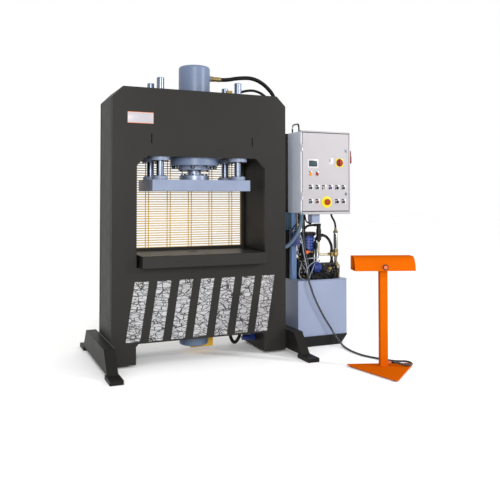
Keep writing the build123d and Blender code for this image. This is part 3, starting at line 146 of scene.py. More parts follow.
enamel = {"spread": 0.08, "scale": 1.6, "grain": 0.12, "grain_scale": 260}
paint = surface("frame_paint", (35, 34, 32), 0.46, gleam=0.14, **enamel)
# Darker copy of the frame paint for the side walls, inner walls and feet: painted shade on faces that lie in
# shadow
shaded_side_paint = surface("shaded_side_paint", (26, 25, 23), 0.46, gleam=0.1, **enamel)
table_steel = surface("table_paint", (34, 33, 31), 0.42, spread=0.12, scale=4, grain=0.08, gleam=0.18)
blue_grey = surface("cylinder_paint", (95, 108, 133), 0.38, grain=0.08, gleam=0.4)
ram_paint = surface("ram_paint", (115, 125, 147), 0.4, spread=0.09, scale=5, grain=0.12, gleam=0.4)
light_blue = surface("unit_paint", (125, 135, 159), 0.36, spread=0.05, scale=2.5, grain=0.06, gleam=0.4)
# The cabinet's pale paint, made lighter still so that its shaded left side reads bright: painted light on the
# side
lightened_shell_blue = surface("lightened_shell_paint", (208, 215, 230), 0.36, spread=0.04, scale=2.5, grain=0.06, gleam=0.4)
lower_blue = surface("ejector_paint", (84, 100, 124), 0.4, scale=2.5, grain=0.06, gleam=0.4)
post_blue = surface("post_paint", (92, 116, 156), 0.36, grain=0.06, gleam=0.4)
door_grey = surface("door_paint", (156, 153, 156), 0.38, spread=0.03, gleam=0.4)
ram_steel = surface("ram_steel", (134, 144, 166), 0.36, metal=0.6, spread=0.08, scale=6)
bolt_grey = surface("bolt_grey", (62, 70, 82), 0.4, metal=0.5, spread=0.15, scale=25, gleam=0.3)
chrome = surface("chrome", (112, 120, 136), 0.3, metal=1.0, scale=5, grain=0.0,
                 stretch=(1, 1, 0.1), rough_spread=0.04)
steel = surface("steel", (150, 150, 146), 0.3, metal=1.0, spread=0.14, scale=20)
dull_steel = surface("dull_steel", (104, 100, 92), 0.42, metal=0.9, spread=0.22, scale=24, grain=0.08)
brass = surface("brass", (142, 122, 78), 0.38, metal=0.85, spread=0.18, scale=18, grain=0.06)
pale_pipe = surface("pale_pipe", (184, 178, 152), 0.32, metal=0.6, spread=0.12, scale=18, grain=0.04)
black = surface("black_paint", (17, 17, 18), 0.42, spread=0.18, scale=10, grain=0.08, gleam=0.2)
black_oxide = surface("black_oxide", (20, 20, 20), 0.42, metal=0.1, spread=0.2, scale=25, grain=0.06,
                      gleam=0.2)
rubber = surface("rubber", (9, 9, 10), 0.5, spread=0.2, scale=12, grain=0.2, grain_scale=400, gleam=0.16)
wrap_plastic = surface("wrap_plastic", (44, 46, 51), 0.2, spread=0.1, scale=12, grain=0.0, gleam=0.9)
panel_yellow = surface("panel_yellow", (220, 190, 22), 0.38, spread=0.04, scale=12, grain=0.03, gleam=0.3)
fin_blue = surface("fin_blue", (70, 94, 160), 0.3, spread=0.1, scale=20)
rubber_feet = surface("rubber_feet", (24, 23, 22), 0.7, spread=0.15, scale=20, grain=0.25, grain_scale=300)
yellow = surface("guard_yellow", (206, 164, 6), 0.45, spread=0.1, scale=8, grain=0.06, gleam=0.3)
block_yellow = surface("block_yellow", (206, 160, 20), 0.42, spread=0.08, scale=8, gleam=0.4)
orange = surface("pedestal_orange", (187, 84, 6), 0.55, spread=0.05, scale=4, grain=0.12, grain_scale=320,
                 gleam=0.0)
border_orange = surface("border_orange", (206, 104, 30), 0.4, spread=0.04, scale=8)
white_film = surface("white_film", (182, 180, 184), 0.35, spread=0.03, scale=8)
plate_white = surface("plate_white", (158, 155, 160), 0.35, spread=0.03, scale=8)
motor_blue = surface("motor_blue", (24, 44, 112), 0.34, spread=0.12, scale=9, grain=0.15, grain_scale=140)
deep_blue = surface("deep_blue", (30, 42, 104), 0.4, spread=0.14, scale=14, grain=0.1)
conduit_grey = surface("conduit_grey", (62, 82, 102), 0.45, spread=0.08, scale=14, grain=0.08, gleam=0.4)
# Dark teal for a sheet on the post's arm: painted shade under the cabinet
shaded_arm_teal = surface("shaded_arm_teal", (34, 54, 66), 0.42, spread=0.1, scale=8, grain=0.06, gleam=0.2)
cable_grey = surface("cable_grey", (120, 128, 140), 0.45, scale=14, grain=0.04)
red = surface("lever_red", (104, 10, 4), 0.4, gleam=0.2, scale=12)
moulded = {"spread": 0.06, "scale": 18, "grain": 0.02}
button_red = surface("button_red", (134, 34, 3), 0.35, gleam=0.3, spread=0.05, scale=18, grain=0.02)
button_green = surface("button_green", (18, 70, 48), 0.25, **moulded)
button_blue = surface("button_blue", (28, 58, 150), 0.25, **moulded)
button_teal = surface("button_teal", (18, 86, 92), 0.25, **moulded)
button_pale = surface("button_pale", (188, 92, 60), 0.3, **moulded)
button_black = surface("button_black", (16, 16, 18), 0.3, spread=0.12, scale=18, grain=0.02, gleam=0.4)
lock_steel = surface("lock_steel", (120, 132, 150), 0.35, metal=0.6, scale=18)
lens = {"spread": 0.25, "scale": 60, "gleam": 0.25}
lamp_amber = surface("lamp_amber", (206, 118, 6), 0.35, **lens)
lamp_red = surface("lamp_red", (128, 34, 6), 0.35, **lens)
cap_orange = surface("cap_orange", (226, 78, 14), 0.3, scale=30)
screen = surface("screen", (46, 62, 72), 0.5, spread=0.15, scale=9, grain=0.0, gleam=0.2)
grey_plastic = surface("grey_plastic", (128, 132, 140), 0.45, scale=14)
dial_white = surface("dial_white", (200, 204, 210), 0.25, spread=0.03, scale=25)
film_silver = scratched("film_silver", (166, 166, 168), (44, 43, 42))
weld = surface("weld_bead", (42, 41, 40), 0.5, metal=0.2, spread=0.15, scale=60, grain=0.6, grain_scale=90,
               gleam=0.3)

# Finish of each CAD node
for finish, names in (
    (paint, "front_plate rear_plate crown_plates bed_plates"), (shaded_side_paint, "side_walls inner_walls feet"),
    (table_steel, "table"), (blue_grey, "main_cylinder"), (lower_blue, "ejector_cylinder"),
    (ram_paint, "cylinder_gland guide_bushes platen column_flanges"), (ram_steel, "ram_rod"),
    (chrome, "guide_columns ejector_rod"), (steel, "stroke_rod key_switch pressure_switch"),
    (bolt_grey, "cylinder_bolts"), (yellow, "rear_guard_frame rear_guard_wires"), (brass, "hose_fittings"),
    (block_yellow, "ejector_block"), (motor_blue, "ejector_valve pump_motor circulation_motor"),
    (lightened_shell_blue, "cabinet_body"), (door_grey, "cabinet_door"), (lock_steel, "upper_lock lower_lock"),
    (red, "side_lever"), (button_green, "green_button"), (button_blue, "blue_button"),
    (button_red, "main_switch_knob estop_button red_button left_palm_button right_palm_button"),
    (button_black, "selector_upper selector_lower black_upper_button black_right_button black_lower_button"),
    (button_black, "panel_fittings"), (button_teal, "teal_button"), (button_pale, "centre_button"),
    (light_blue, "tank tank_lid"), (black, "skids valve_manifold"), (post_blue, "cabinet_post"),
    (rubber, "hydraulic_pipes pressure_hose return_hose pedestal_cord"), (rubber_feet, "pedestal_feet"),
    (orange, "pedestal_stand pedestal_head"),
):
    for name in names.split():
        nodes[name].data.materials.clear()
        nodes[name].data.materials.append(finish)


def merge_points(node):
    """Join the doubled points of a CAD mesh, so that the next modifier sees one skin."""
    node.modifiers.new("merge", "WELD").merge_threshold = 0.00002


# Rounded edges on the welded and machined pieces
for width, names in (
    (0.004, "side_walls feet cabinet_post"),
    (0.003, "crown_plates bed_plates table tank skids cabinet_door"),
    (0.002, "inner_walls platen tank_lid pedestal_stand ejector_block side_lever main_switch_knob"),
    (0.0015, "cabinet_body rear_guard_frame"),
    (0.0012, "pedestal_head"),
):
    for name in names.split():
        merge_points(nodes[name])
        soften = nodes[name].modifiers.new("soften", "BEVEL")
        soften.width = width
        soften.segments = 2
        soften.limit_method = "ANGLE"
        soften.angle_limit = radians(38)
        soften.harden_normals = True

# Thick coat of paint on the guard's wires
merge_points(nodes["rear_guard_wires"])
coat = nodes["rear_guard_wires"].modifiers.new("coat", "DISPLACE")
coat.strength = 0.0012
coat.mid_level = 0.0


class Piece:
    """One mesh object built from several shapes, each with the piece's finish or its own."""

    def __init__(self, name, finish, body="frame"):
        self.name = name
        self.body = body
        self.finishes = [finish]
        self.bm = bmesh.new()

    def _mark(self, before, finish):
        """Give a finish to the faces that were added."""
        finish = finish or self.finishes[0]
        if finish not in self.finishes:
            self.finishes.append(finish)
        index = self.finishes.index(finish)
        for face in self.bm.faces:
            if face not in before:
                face.material_index = index

    def box(self, low, high, edge=0.002, finish=None, turn=None, about=None):
        """Box with rounded edges, turned about a point if asked."""
        before = set(self.bm.faces)
        size = Vector(high) - Vector(low)
        verts = bmesh.ops.create_cube(self.bm, size=1.0)["verts"]
        bmesh.ops.scale(self.bm, vec=size, verts=verts)
        edges = list({e for v in verts for e in v.link_edges})
        bmesh.ops.bevel(self.bm, geom=edges, offset=min(edge, min(size) * 0.45), segments=2, affect="EDGES",
                        profile=0.5)
        verts = list({v for f in self.bm.faces if f not in before for v in f.verts})
        bmesh.ops.translate(self.bm, vec=(Vector(high) + Vector(low)) / 2, verts=verts)
        if turn is not None:
            bmesh.ops.rotate(self.bm, cent=about, matrix=turn, verts=verts)
        self._mark(before, finish)

    def lathe(self, profile, at, axis, steps=24, finish=None):
        """Profile of (radius, height) points turned about an axis; the last one may lie on the axis."""
        before = set(self.bm.faces)
        way = Vector(axis).normalized()
        side = way.orthogonal().normalized()
        third = way.cross(side)
        at = Vector(at)
        rings = []
        for radius, height in profile:
            if radius == 0:
                rings.append([self.bm.verts.new(at + way * height)])
                continue
            ring = []
            for i in range(steps):
                a = 2 * pi * i / steps
                ring.append(self.bm.verts.new(at + way * height + (side * cos(a) + third * sin(a)) * radius))
            rings.append(ring)
        for low, high in zip(rings, rings[1:]):
            for i in range(steps):
                j = (i + 1) % steps
                if len(high) == 1:
                    self.bm.faces.new((low[i], low[j], high[0]))
                else:
                    self.bm.faces.new((low[i], low[j], high[j], high[i]))
        self.bm.faces.new(list(reversed(rings[0])))
        if len(rings[-1]) > 1:
            self.bm.faces.new(rings[-1])
        self._mark(before, finish)

    def disc(self, radius, height, at, axis, edge, steps, finish=None):
        """Short cylinder with a chamfer at both ends."""
        e = min(edge, height * 0.4, radius * 0.4)
        profile = [(radius - e, 0), (radius, e), (radius, height - e), (radius - e, height)]
        self.lathe(profile, at, axis, steps, finish)

    def screw(self, at, axis, radius, finish=None):
        """Socket head: a round head with a rounded rim and a recess."""
        h = radius * 1.1
        self.lathe([(radius * 0.97, 0), (radius, h * 0.15), (radius, h * 0.8), (radius * 0.85, h),
                    (radius * 0.5, h), (radius * 0.46, h * 0.55), (0, h * 0.5)], at, axis, 16, finish)

    def hexagon(self, at, axis, radius, height, finish=None):
        """Hexagonal head on a washer."""
        way = Vector(axis).normalized()
        self.disc(radius * 1.45, radius * 0.2, at, way, radius * 0.06, 20, finish)
        self.lathe([(radius, 0), (radius * 1.05, height * 0.1), (radius * 1.05, height * 0.8),
                    (radius * 0.88, height)], Vector(at) + way * radius * 0.2, way, 6, finish)

    def plate(self, points, front, rear):
        """Outline of (x, z) points extruded between two depths, in the piece's finish."""
        bottom = [self.bm.verts.new((x, front, z)) for x, z in points]
        top = [self.bm.verts.new((x, rear, z)) for x, z in points]
        self.bm.faces.new(bottom)
        self.bm.faces.new(list(reversed(top)))
        for i in range(len(points)):
            j = (i + 1) % len(points)
            self.bm.faces.new((bottom[j], bottom[i], top[i], top[j]))

    def done(self, stands_for=None):
        """Turn the shapes into one object that rides on its body."""
        bmesh.ops.recalc_face_normals(self.bm, faces=self.bm.faces)
        mesh = bpy.data.meshes.new(self.name)
        for finish in self.finishes:
            mesh.materials.append(finish)
        self.bm.to_mesh(mesh)
        self.bm.free()
        obj = bpy.data.objects.new(self.name, mesh)
        scene.collection.objects.link(obj)
        for poly in mesh.polygons:
            poly.use_smooth = True
        mesh.set_sharp_from_angle(angle=radians(35))
        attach(obj, self.body)
        if stands_for:
            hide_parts(stands_for)


def line(name, points, radius, finish, order=3, resolution=12):
    """Smooth round line on the frame, with the points as its control points."""
    data = bpy.data.curves.new(name, "CURVE")
    data.dimensions = "3D"
    data.bevel_depth = radius
    data.bevel_resolution = 5
    data.resolution_u = resolution
    data.use_fill_caps = True
    spline = data.splines.new("NURBS")
    spline.points.add(len(points) - 1)
    for point, place in zip(spline.points, points):
        point.co = (place[0], place[1], place[2], 1.0)
    spline.order_u = order
    spline.use_endpoint_u = True
    data.materials.append(finish)
    obj = bpy.data.objects.new(name, data)
    scene.collection.objects.link(obj)
    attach(obj, "frame")
    return obj


def spline_points(obj):
    """Centre points of a round line, read from its own spline."""
    data = obj.data.copy()
    data.bevel_depth = 0.0
    bare = bpy.data.objects.new("bare", data)
    scene.collection.objects.link(bare)
    bpy.context.view_layer.update()
    mesh = bpy.data.meshes.new_from_object(bare.evaluated_get(bpy.context.evaluated_depsgraph_get()))
    points = [v.co.copy() for v in mesh.vertices]
    bpy.data.objects.remove(bare)
    bpy.data.curves.remove(data)
    bpy.data.meshes.remove(mesh)
    return points


def millimetres(points):
    """Points given in millimetres, as metres."""
    return [(x / 1000.0, y / 1000.0, z / 1000.0) for x, y, z in points]


# Axes of the turned shapes
up, down, left, right, ahead = (0, 0, 1), (0, 0, -1), (-1, 0, 0), (1, 0, 0), (0, -1, 0)

# Planes that the pieces stand on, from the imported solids
wall_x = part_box("side_walls")[1].x
face_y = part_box("front_plate")[0].y
foot_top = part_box("feet")[1].z
tank_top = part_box("tank_lid")[1].z
cabinet_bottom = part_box("cabinet_post")[1].z

# Pedestal's place and turn, and the height of its cord gland, in millimetres
turn = radians(-20)
post_x, post_y = 1446, -1211
gland_z = 50


def pedestal(x, y, z):
    """Point of the pedestal's own turned frame, millimetres in and metres out."""
    return Vector(((post_x + x * cos(turn) - y * sin(turn)) / 1000,
                   (post_y + x * sin(turn) + y * cos(turn)) / 1000, z / 1000))


pedestal_x = Vector((cos(turn), sin(turn), 0))
pedestal_y = Vector((-sin(turn), cos(turn), 0))

# Cord of the pedestal, with its spiral wrap
cord_route = millimetres([
    (1190, -125, 1390), (1190, -125, 1300), (1196, -126, 1180), (1208, -128, 1070), (1221, -133, 985),
    (1237, -146, 905), (1236, -168, 830), (1221, -198, 762), (1203, -234, 705), (1222, -245, 640),
    (1250, -243, 562), (1286, -242, 486), (1328, -243, 405), (1375, -242, 324), (1425, -244, 246),
    (1477, -246, 170), (1517, -260, 98), (1546, -296, 42), (1547, -352, 14), (1534, -425, 10),
    (1516, -510, 10), (1506, -600, 10), (1507, -690, 10), (1518, -778, 10), (1545, -862, 10),
    (1586, -940, 10), (1630, -1016, 10), (1668, -1096, 12), (1702, -1210, 37), (1713, -1278, 37),
    (1684, -1325, 36), (1630, -1336, 35), (1585, -1304.4, 42),
])
cord_route += [tuple(pedestal(x, 0, gland_z)) for x in (118, 70)]
cord = line("pedestal_cable", cord_route, 0.009, rubber)
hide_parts("pedestal_cord")


def wrap(name, centre, radius, thick, pitch, finish, skip=0.02):
    """Helical band wound on a cord's centre line, short of both its ends."""
    lengths = [0.0]
    for a, b in zip(centre, centre[1:]):
        lengths.append(lengths[-1] + (b - a).length)
    total = lengths[-1]
    steps = 14
    half_band = 0.3          # half the band's width, as a share of the pitch
    lip = 0.7                # outer width over inner width
    count = int((total - 2 * skip) / pitch * steps)
    bm = bmesh.new()
    index = 0
    normal = (centre[1] - centre[0]).orthogonal().normalized()
    last = None
    for i in range(count + 1):
        s = skip + (total - 2 * skip) * i / count
        while index < len(lengths) - 2 and lengths[index + 1] < s:
            index += 1
        a, b = centre[index], centre[index + 1]
        way = (b - a).normalized()
        here = a + way * (s - lengths[index])
        normal = (normal - way * normal.dot(way)).normalized()
        third = way.cross(normal)
        angle = 2 * pi * s / pitch
        out = normal * cos(angle) + third * sin(angle)
        half = way * pitch * half_band
        inner, outer = here + out * radius, here + out * (radius + thick)
        ring = [bm.verts.new(p) for p in (inner - half, outer - half * lip, outer + half * lip, inner + half)]
        if last:
            for j in range(3):
                bm.faces.new((last[j], last[j + 1], ring[j + 1], ring[j]))
        last = ring
    mesh = bpy.data.meshes.new(name)
    mesh.materials.append(finish)
    bm.to_mesh(mesh)
    bm.free()
    obj = bpy.data.objects.new(name, mesh)
    scene.collection.objects.link(obj)
    for poly in mesh.polygons:
        poly.use_smooth = True
    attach(obj, "frame")
    return obj


cable_wrap = wrap("cable_wrap", spline_points(cord), radius=0.0088, thick=0.0016, pitch=0.026,
                  finish=wrap_plastic)

# Hoses on the crown
pressure_route = millimetres([
    (290, 0, 2815), (350, 0, 2815), (490, 0, 2848), (660, 0, 2862), (810, 0, 2795), (940, 0, 2650),
    (940, 0, 2480),
])
pressure = line("main_hose", pressure_route, 0.021, rubber)
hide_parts("pressure_hose")
return_route = millimetres([
    (485, 100, 2688), (630, 100, 2750), (790, 100, 2738), (930, 100, 2630), (930, 100, 2480),
])
return_line = line("drain_hose", return_route, 0.014, rubber)
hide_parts("return_hose")

# Crimped sleeves and nuts on the hoses' fittings
fit = Piece("hose_sleeves", brass)
port_z = 2.815
elbow_z = 2.44
fit.lathe([(0.027, 0), (0.0285, 0.004), (0.0285, 0.02), (0.027, 0.024)], (0.168, 0, port_z), right, 6)
for k in range(4):
    fit.lathe([(0.0232, 0), (0.0252, 0.003), (0.0252, 0.008), (0.0232, 0.011)],
              (0.222 + k * 0.014, 0, port_z), right)
fit.lathe([(0.026, 0), (0.0275, 0.003), (0.0275, 0.021), (0.026, 0.024)], (0.94, 0, elbow_z + 0.015), up, 6)
fit.lathe([(0.021, 0), (0.0225, 0.003), (0.0225, 0.017), (0.021, 0.02)], (0.93, 0.1, elbow_z + 0.018), up, 6)
for y, r in ((0, 0.034), (0.1, 0.028)):
    fit.lathe([(r, 0), (r, 0.006), (r * 0.9, 0.008)], (wall_x, y, elbow_z), right, 6, steel)
for x, y in product((0.407, 0.443), (0.083, 0.117)):
    fit.screw((x, y, 2.72), up, 0.006, steel)
fit.done()


# Screws of the flanges, the glands and the guide bushes
def screw_ring(piece, x, y, z, radius, count, axis, head, shift=0.0):
    """Socket screws in a circle about an upright line, shifted by a share of their spacing."""
    for k in range(count):
        a = 2 * pi * (k + shift) / count
        piece.screw((x + radius * cos(a), y + radius * sin(a), z), axis, head)


guides = list(product((-0.41, 0.41), (-0.18, 0.18)))
gland_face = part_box("cylinder_gland")[0].z
bush_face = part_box("guide_bushes")[0].z
column_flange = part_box("column_flanges")[1].z
rod_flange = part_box("platen")[1].z + 0.05
ejector_flange = 0.285
screws = Piece("frame_screws", black_oxide)
screw_ring(screws, 0, 0, gland_face, 0.145, 8, down, 0.009)
for x, y in guides:
    screw_ring(screws, x, y, bush_face, 0.074, 6, down, 0.0085, 0.5)
screw_ring(screws, 0, 0, ejector_flange, 0.16, 8, up, 0.0085, 0.5)
screws.done()
ram_screws = Piece("ram_screws", bolt_grey, "ram")
screw_ring(ram_screws, 0, 0, rod_flange, 0.125, 8, up, 0.012, 0.5)
for x, y in guides:
    screw_ring(ram_screws, x, y, column_flange, 0.056, 6, up, 0.0075)
ram_screws.done()


# Weld beads where the frame's plates meet
def bead(name, points, radius):
    line(name, points, radius, weld, order=2, resolution=2)


seam_low, seam_high = 0.03, 2.528
for side, tag in ((-1, "left"), (1, "right")):
    x = wall_x * side
    for face, y in (("front", -0.25), ("rear", 0.25)):
        bead(f"weld_{face}_{tag}", [(x * 0.999, y, seam_low), (x * 0.999, y, seam_high)], 0.004)
    bead("weld_foot_" + tag, [(x + side * 0.001, y, foot_top) for y in (-0.46, face_y)], 0.006)
    bead("weld_leg_" + tag, [(x + side * 0.002, y, foot_top + 0.001) for y in (-0.289, 0.289)], 0.007)

# White plate with an orange border on the crown, left bare
badge = Piece("crown_plate", plate_white)
badge.box((-0.757, face_y - 0.0016, 2.286), (-0.507, face_y, 2.392), 0.0005, border_orange)
badge.box((-0.753, face_y - 0.0021, 2.29), (-0.511, face_y - 0.0014, 2.388), 0.0003)
badge.done()

# Slanted silver bars of film on the bed's front, scratched and all alike
film = Piece("silver_film", film_silver)
film_low, film_high = 0.232, 0.792
film_left, film_right = -0.765, 0.685
bar_count = 7
bar_share = 0.62
lean = 0.085
pitch = (film_right - film_left) / (bar_count - 1 + bar_share)
for k in range(bar_count):
    x = film_left + k * pitch
    w = pitch * bar_share
    film.plate([(x, film_low), (x + w, film_low), (x + w + lean, film_high), (x + lean, film_high)],
               face_y - 0.0008, face_y)
film.done()

# Cabinet: fittings of the door
front = -0.195
device_x = [(1258 + 82 * i) / 1000 for i in range(6)]
upper_z, lower_z, lamp_z = 1.688, 1.536, 1.838
stop_x = 1.45
switch_x, switch_z = 1.615, 1.966
panel = Piece("door_fittings", button_black, "door")


def bezel(x, z, finish):
    r = 0.0152
    panel.lathe([(0.0097, 0), (r, 0), (r, 0.0025), (r - 0.0015, 0.004), (0.0112, 0.0045), (0.0097, 0.0035)],
                (x, front, z), ahead, 28, finish)


def sheet(left_x, low_z, right_x, high_z, finish, proud=0.0012):
    """Thin bare plate on the door; a pale one lies lower than the black strips on it."""
    panel.box((left_x, front - proud, low_z), (right_x, front, high_z), 0.0004, finish)


def legend(x, z):
    """Blank two-part legend plate above and beside a device: a black strip and a pale one."""
    sheet(x - 0.028, z + 0.017, x + 0.006, z + 0.033, button_black)
    sheet(x - 0.028, z - 0.017, x - 0.0155, z + 0.013, button_black)
    sheet(x - 0.028, z - 0.019, x + 0.0265, z + 0.034, white_film, 0.0008)


for i, x in enumerate(device_x):
    bezel(x, upper_z, steel if i == 2 else button_black)
    legend(x, upper_z)
    if i not in (2, 3):
        bezel(x, lower_z, button_black)
        legend(x, lower_z)
bezel(stop_x, lower_z, button_black)
panel.lathe([(0.034, 0.002), (0.052, 0.002), (0.062, 0.0), (0.062, 0.003), (0.056, 0.006), (0.034, 0.006),
             (0.0097, 0.006)], (stop_x, front, lower_z), ahead, 40, panel_yellow)
for x, finish in ((1.248, lamp_amber), (1.33, lamp_red)):
    panel.lathe([(0.0205, 0), (0.0205, 0.004), (0.0185, 0.005)], (x, front, lamp_z), ahead, 28, steel)
    panel.lathe([(0.0185, 0.004), (0.0185, 0.008), (0.0145, 0.0125), (0.007, 0.0148), (0, 0.0153)],
                (x, front, lamp_z), ahead, 28, finish)
    sheet(x - 0.026, lamp_z - 0.016, x + 0.024, lamp_z + 0.03, white_film, 0.0008)
    sheet(x - 0.022, lamp_z + 0.019, x + 0.008, lamp_z + 0.027, button_black)
panel.box((1.217, front - 0.001, 1.903), (1.347, front, 1.998), 0.0005, white_film)
panel.box((1.233, front - 0.007, 1.919), (1.331, front, 1.982), 0.003)
panel.box((1.241, front - 0.0085, 1.927), (1.323, front - 0.0055, 1.974), 0.001, screen)
sheet(1.478, 1.946, 1.536, 2.012, white_film, 0.0008)
for z in (1.998, 1.985, 1.972):
    panel.box((1.482, front - 0.0012, z), (1.5, front - 0.0006, z + 0.007), 0.0002)
panel.box((1.57, front - 0.0025, 1.92), (1.66, front, 2.011), 0.0015, panel_yellow)
panel.lathe([(0.0097, 0.002), (0.042, 0.002), (0.042, 0.004), (0.039, 0.0055), (0.0097, 0.0055)],
            (switch_x, front, switch_z), ahead, 40)
for dx, dz in product((-0.036, 0.036), repeat=2):
    panel.screw((switch_x + dx, front - 0.0025, switch_z + dz), ahead, 0.0028, steel)
for z in (2.097, 1.623):
    panel.lathe([(0.0122, 0), (0.0158, 0), (0.0158, 0.002), (0.0145, 0.0032), (0.0122, 0.0032)],
                (1.697, front, z), ahead, 28)
panel.done("panel_fittings")

# Cabinet: folded rim covered in door grey and junction box covered in unit blue, darker than the lightened
# shell paint under them; black strips as painted shade in the gap round the door; hinge caps, lever collar
# and cord gland
trim = Piece("cabinet_trim", black_oxide)
rim_front, rim_rear = -0.1785, -0.1545
rim_left, rim_right, rim_low, rim_high = 1.135, 1.7612, 1.403, 2.306
fold_right = 1.7438
# Door-grey covers on the rim, darker than the lightened shell paint beneath
trim.box((rim_left, rim_front, 2.2897), (rim_right, rim_rear, rim_high), 0.0015, door_grey)
trim.box((rim_left, rim_front, rim_low), (rim_right, -0.1655, 1.4326), 0.0015, door_grey)
trim.box((fold_right, rim_front, 1.433), (rim_right, rim_rear, 2.2895), 0.0015, door_grey)
trim.box((1.309, -0.1212, 1.309), (1.406, -0.0288, 1.4198), 0.002, light_blue)
trim.box((1.313, -0.1226, 1.315), (1.402, -0.1206, 1.413), 0.0008, light_blue)
trim.box((1.1342, rim_front, rim_low), (1.1442, rim_front + 0.002, rim_high), 0.0006, door_grey)
# Black strips in the gap round the door: painted shade of the gap
for z in (1.4363, 2.2858):
    trim.box((1.1525, -0.1835, z - 0.0038), (fold_right, -0.1765, z + 0.0038), 0.0004)
trim.box((1.7335, -0.1835, 1.436), (fold_right, -0.1765, 2.286), 0.0004)
for z in (1.558, 2.078):
    trim.disc(0.0056, 0.003, (1.15, -0.1975, z), up, 0.0008, 20, steel)
trim.disc(0.0215, 0.004, (1.757, -0.15, 2.09), right, 0.001, 28, black)
trim.lathe([(0.0185, 0), (0.0185, 0.008), (0.0165, 0.011), (0.0165, 0.0285), (0.0115, 0.0345)],
           (1.19, -0.125, cabinet_bottom), down)
for x, z in product((1.322, 1.393), (1.324, 1.402)):
    trim.screw((x, -0.1226, z), ahead, 0.0035, steel)
trim.done()
back_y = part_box("cabinet_body")[1].y
back = Piece("cabinet_back_plate", black_oxide)
back.box((1.076, back_y, 1.421), (1.7, back_y + 0.009, 2.294))
for z in (1.5, 1.857, 2.214):
    back.hexagon((1.108, back_y, z), ahead, 0.006, 0.005)
back.done()
# Dark teal sheet on the front of the post's arm, with ribs and screws: painted shade under the cabinet
arm = Piece("shaded_arm_panel", shaded_arm_teal)
arm.box((0.985, -0.0325, 1.238), (1.104, -0.03, 1.418), 0.001)
for x in (1.028, 1.05, 1.072, 1.094):
    arm.box((x, -0.0365, 1.245), (x + 0.005, -0.032, 1.411), 0.0015, conduit_grey)
for x, z in product((1.016, 1.085), (1.252, 1.404)):
    arm.hexagon((x, -0.0325, z), ahead, 0.005, 0.004, black_oxide)
arm.done()
grip = Piece("lever_grip", red, "side_lever")
grip.box((1.7675, -0.166, 1.962), (1.7925, -0.134, 2.045), 0.009)
grip.box((1.769, -0.161, 2.04), (1.788, -0.139, 2.1), 0.006)
grip.done()
line("loop_sleeve", millimetres([
    (1155, -113, 2300), (1155, -113, 2340), (1155, -105, 2381), (1155, -38, 2383), (1155, 29, 2381),
    (1155, 37, 2340), (1155, 37, 2300)]), 0.0082, rubber)

# Hydraulic unit: the big motor on its bell, with fins, a fan cover, a terminal box and an oil cap
motor_x, motor_y = 1.34, 0.025
fin_count = 24
cap_x, cap_z = 1.268, 0.99
motor = Piece("pump_and_motor", motor_blue)
motor.lathe([(0.075, 0), (0.075, 0.012), (0.062, 0.016), (0.062, 0.1), (0.068, 0.112), (0.068, 0.25),
             (0.075, 0.262), (0.075, 0.299)], (motor_x, motor_y, tank_top), up, 40, black)
motor.lathe([(0.076, 0), (0.078, 0.004), (0.078, 0.014), (0.068, 0.018), (0.066, 0.03), (0.066, 0.145),
             (0.07, 0.15), (0.07, 0.164)], (motor_x, motor_y, 1.0), up, 48)


def fins(inner, outer, half, low_z, high_z, edge, finish):
    """Bars round the motor's axis: its fins, and the slots of its fan cover."""
    for k in range(fin_count):
        spin = Matrix.Rotation(2 * pi * k / fin_count, 3, "Z")
        motor.box((motor_x + inner, motor_y - half, low_z), (motor_x + outer, motor_y + half, high_z), edge,
                  finish, spin, (motor_x, motor_y, low_z))


for z in (1.024, 1.056, 1.088, 1.12):
    fins(0.062, 0.0785, 0.0042, z, z + 0.02, 0.002, fin_blue)
motor.lathe([(0.08, 0), (0.086, 0.004), (0.088, 0.01), (0.088, 0.03), (0.08, 0.038), (0.03, 0.0402),
             (0, 0.0404)], (motor_x, motor_y, 1.1648), up, 48, black)
fins(0.034, 0.072, 0.0014, 1.2035, 1.2062, 0.0006, grey_plastic)
for k in range(4):
    a = pi / 4 + pi / 2 * k
    motor.hexagon((motor_x + 0.07 * cos(a), motor_y + 0.07 * sin(a), tank_top + 0.012), up, 0.006, 0.006,
                  steel)
motor.box((motor_x + 0.03, motor_y - 0.088, 1.02), (motor_x + 0.07, motor_y - 0.04, 1.09), 0.005, black)
motor.box((motor_x + 0.033, motor_y - 0.092, 1.024), (motor_x + 0.067, motor_y - 0.087, 1.086), 0.002,
          deep_blue)
for dx, z in product((0.038, 0.062), (1.03, 1.08)):
    motor.screw((motor_x + dx, motor_y - 0.092, z), ahead, 0.0028, steel)
motor.lathe([(0.018, 0), (0.0205, 0.004), (0.0205, 0.016), (0.017, 0.021), (0, 0.023)],
            (cap_x, -0.068, cap_z), ahead, 28, cap_orange)
motor.lathe([(0.012, 0), (0.012, 0.048)], (cap_x, -0.022, cap_z), ahead, 20, black)
motor.box((1.256, -0.05, 0.972), (motor_x, -0.012, 1.006), 0.004, black)
motor.lathe([(0.0085, 0), (0.0085, 0.03), (0.0065, 0.032), (0.0065, 0.056)], (1.29, -0.06, cap_z), right,
            20, brass)
motor.lathe([(0.0105, 0), (0.0105, 0.016)], (1.334, -0.06, cap_z), right, 6, brass)
motor.lathe([(0.009, 0), (0.009, 0.012)], (1.3, -0.05, cap_z), ahead, 16, black)
motor.done("pump_motor")

lid = Piece("lid_screws", steel)
long_sides = product((1.115, 1.225, 1.335, 1.445, 1.555, 1.675), (-0.192, 0.242))
short_sides = product((1.103, 1.687), (-0.06, 0.11))
for x, y in (*long_sides, *short_sides):
    lid.hexagon((x, y, tank_top), up, 0.0055, 0.006)
lid.done()

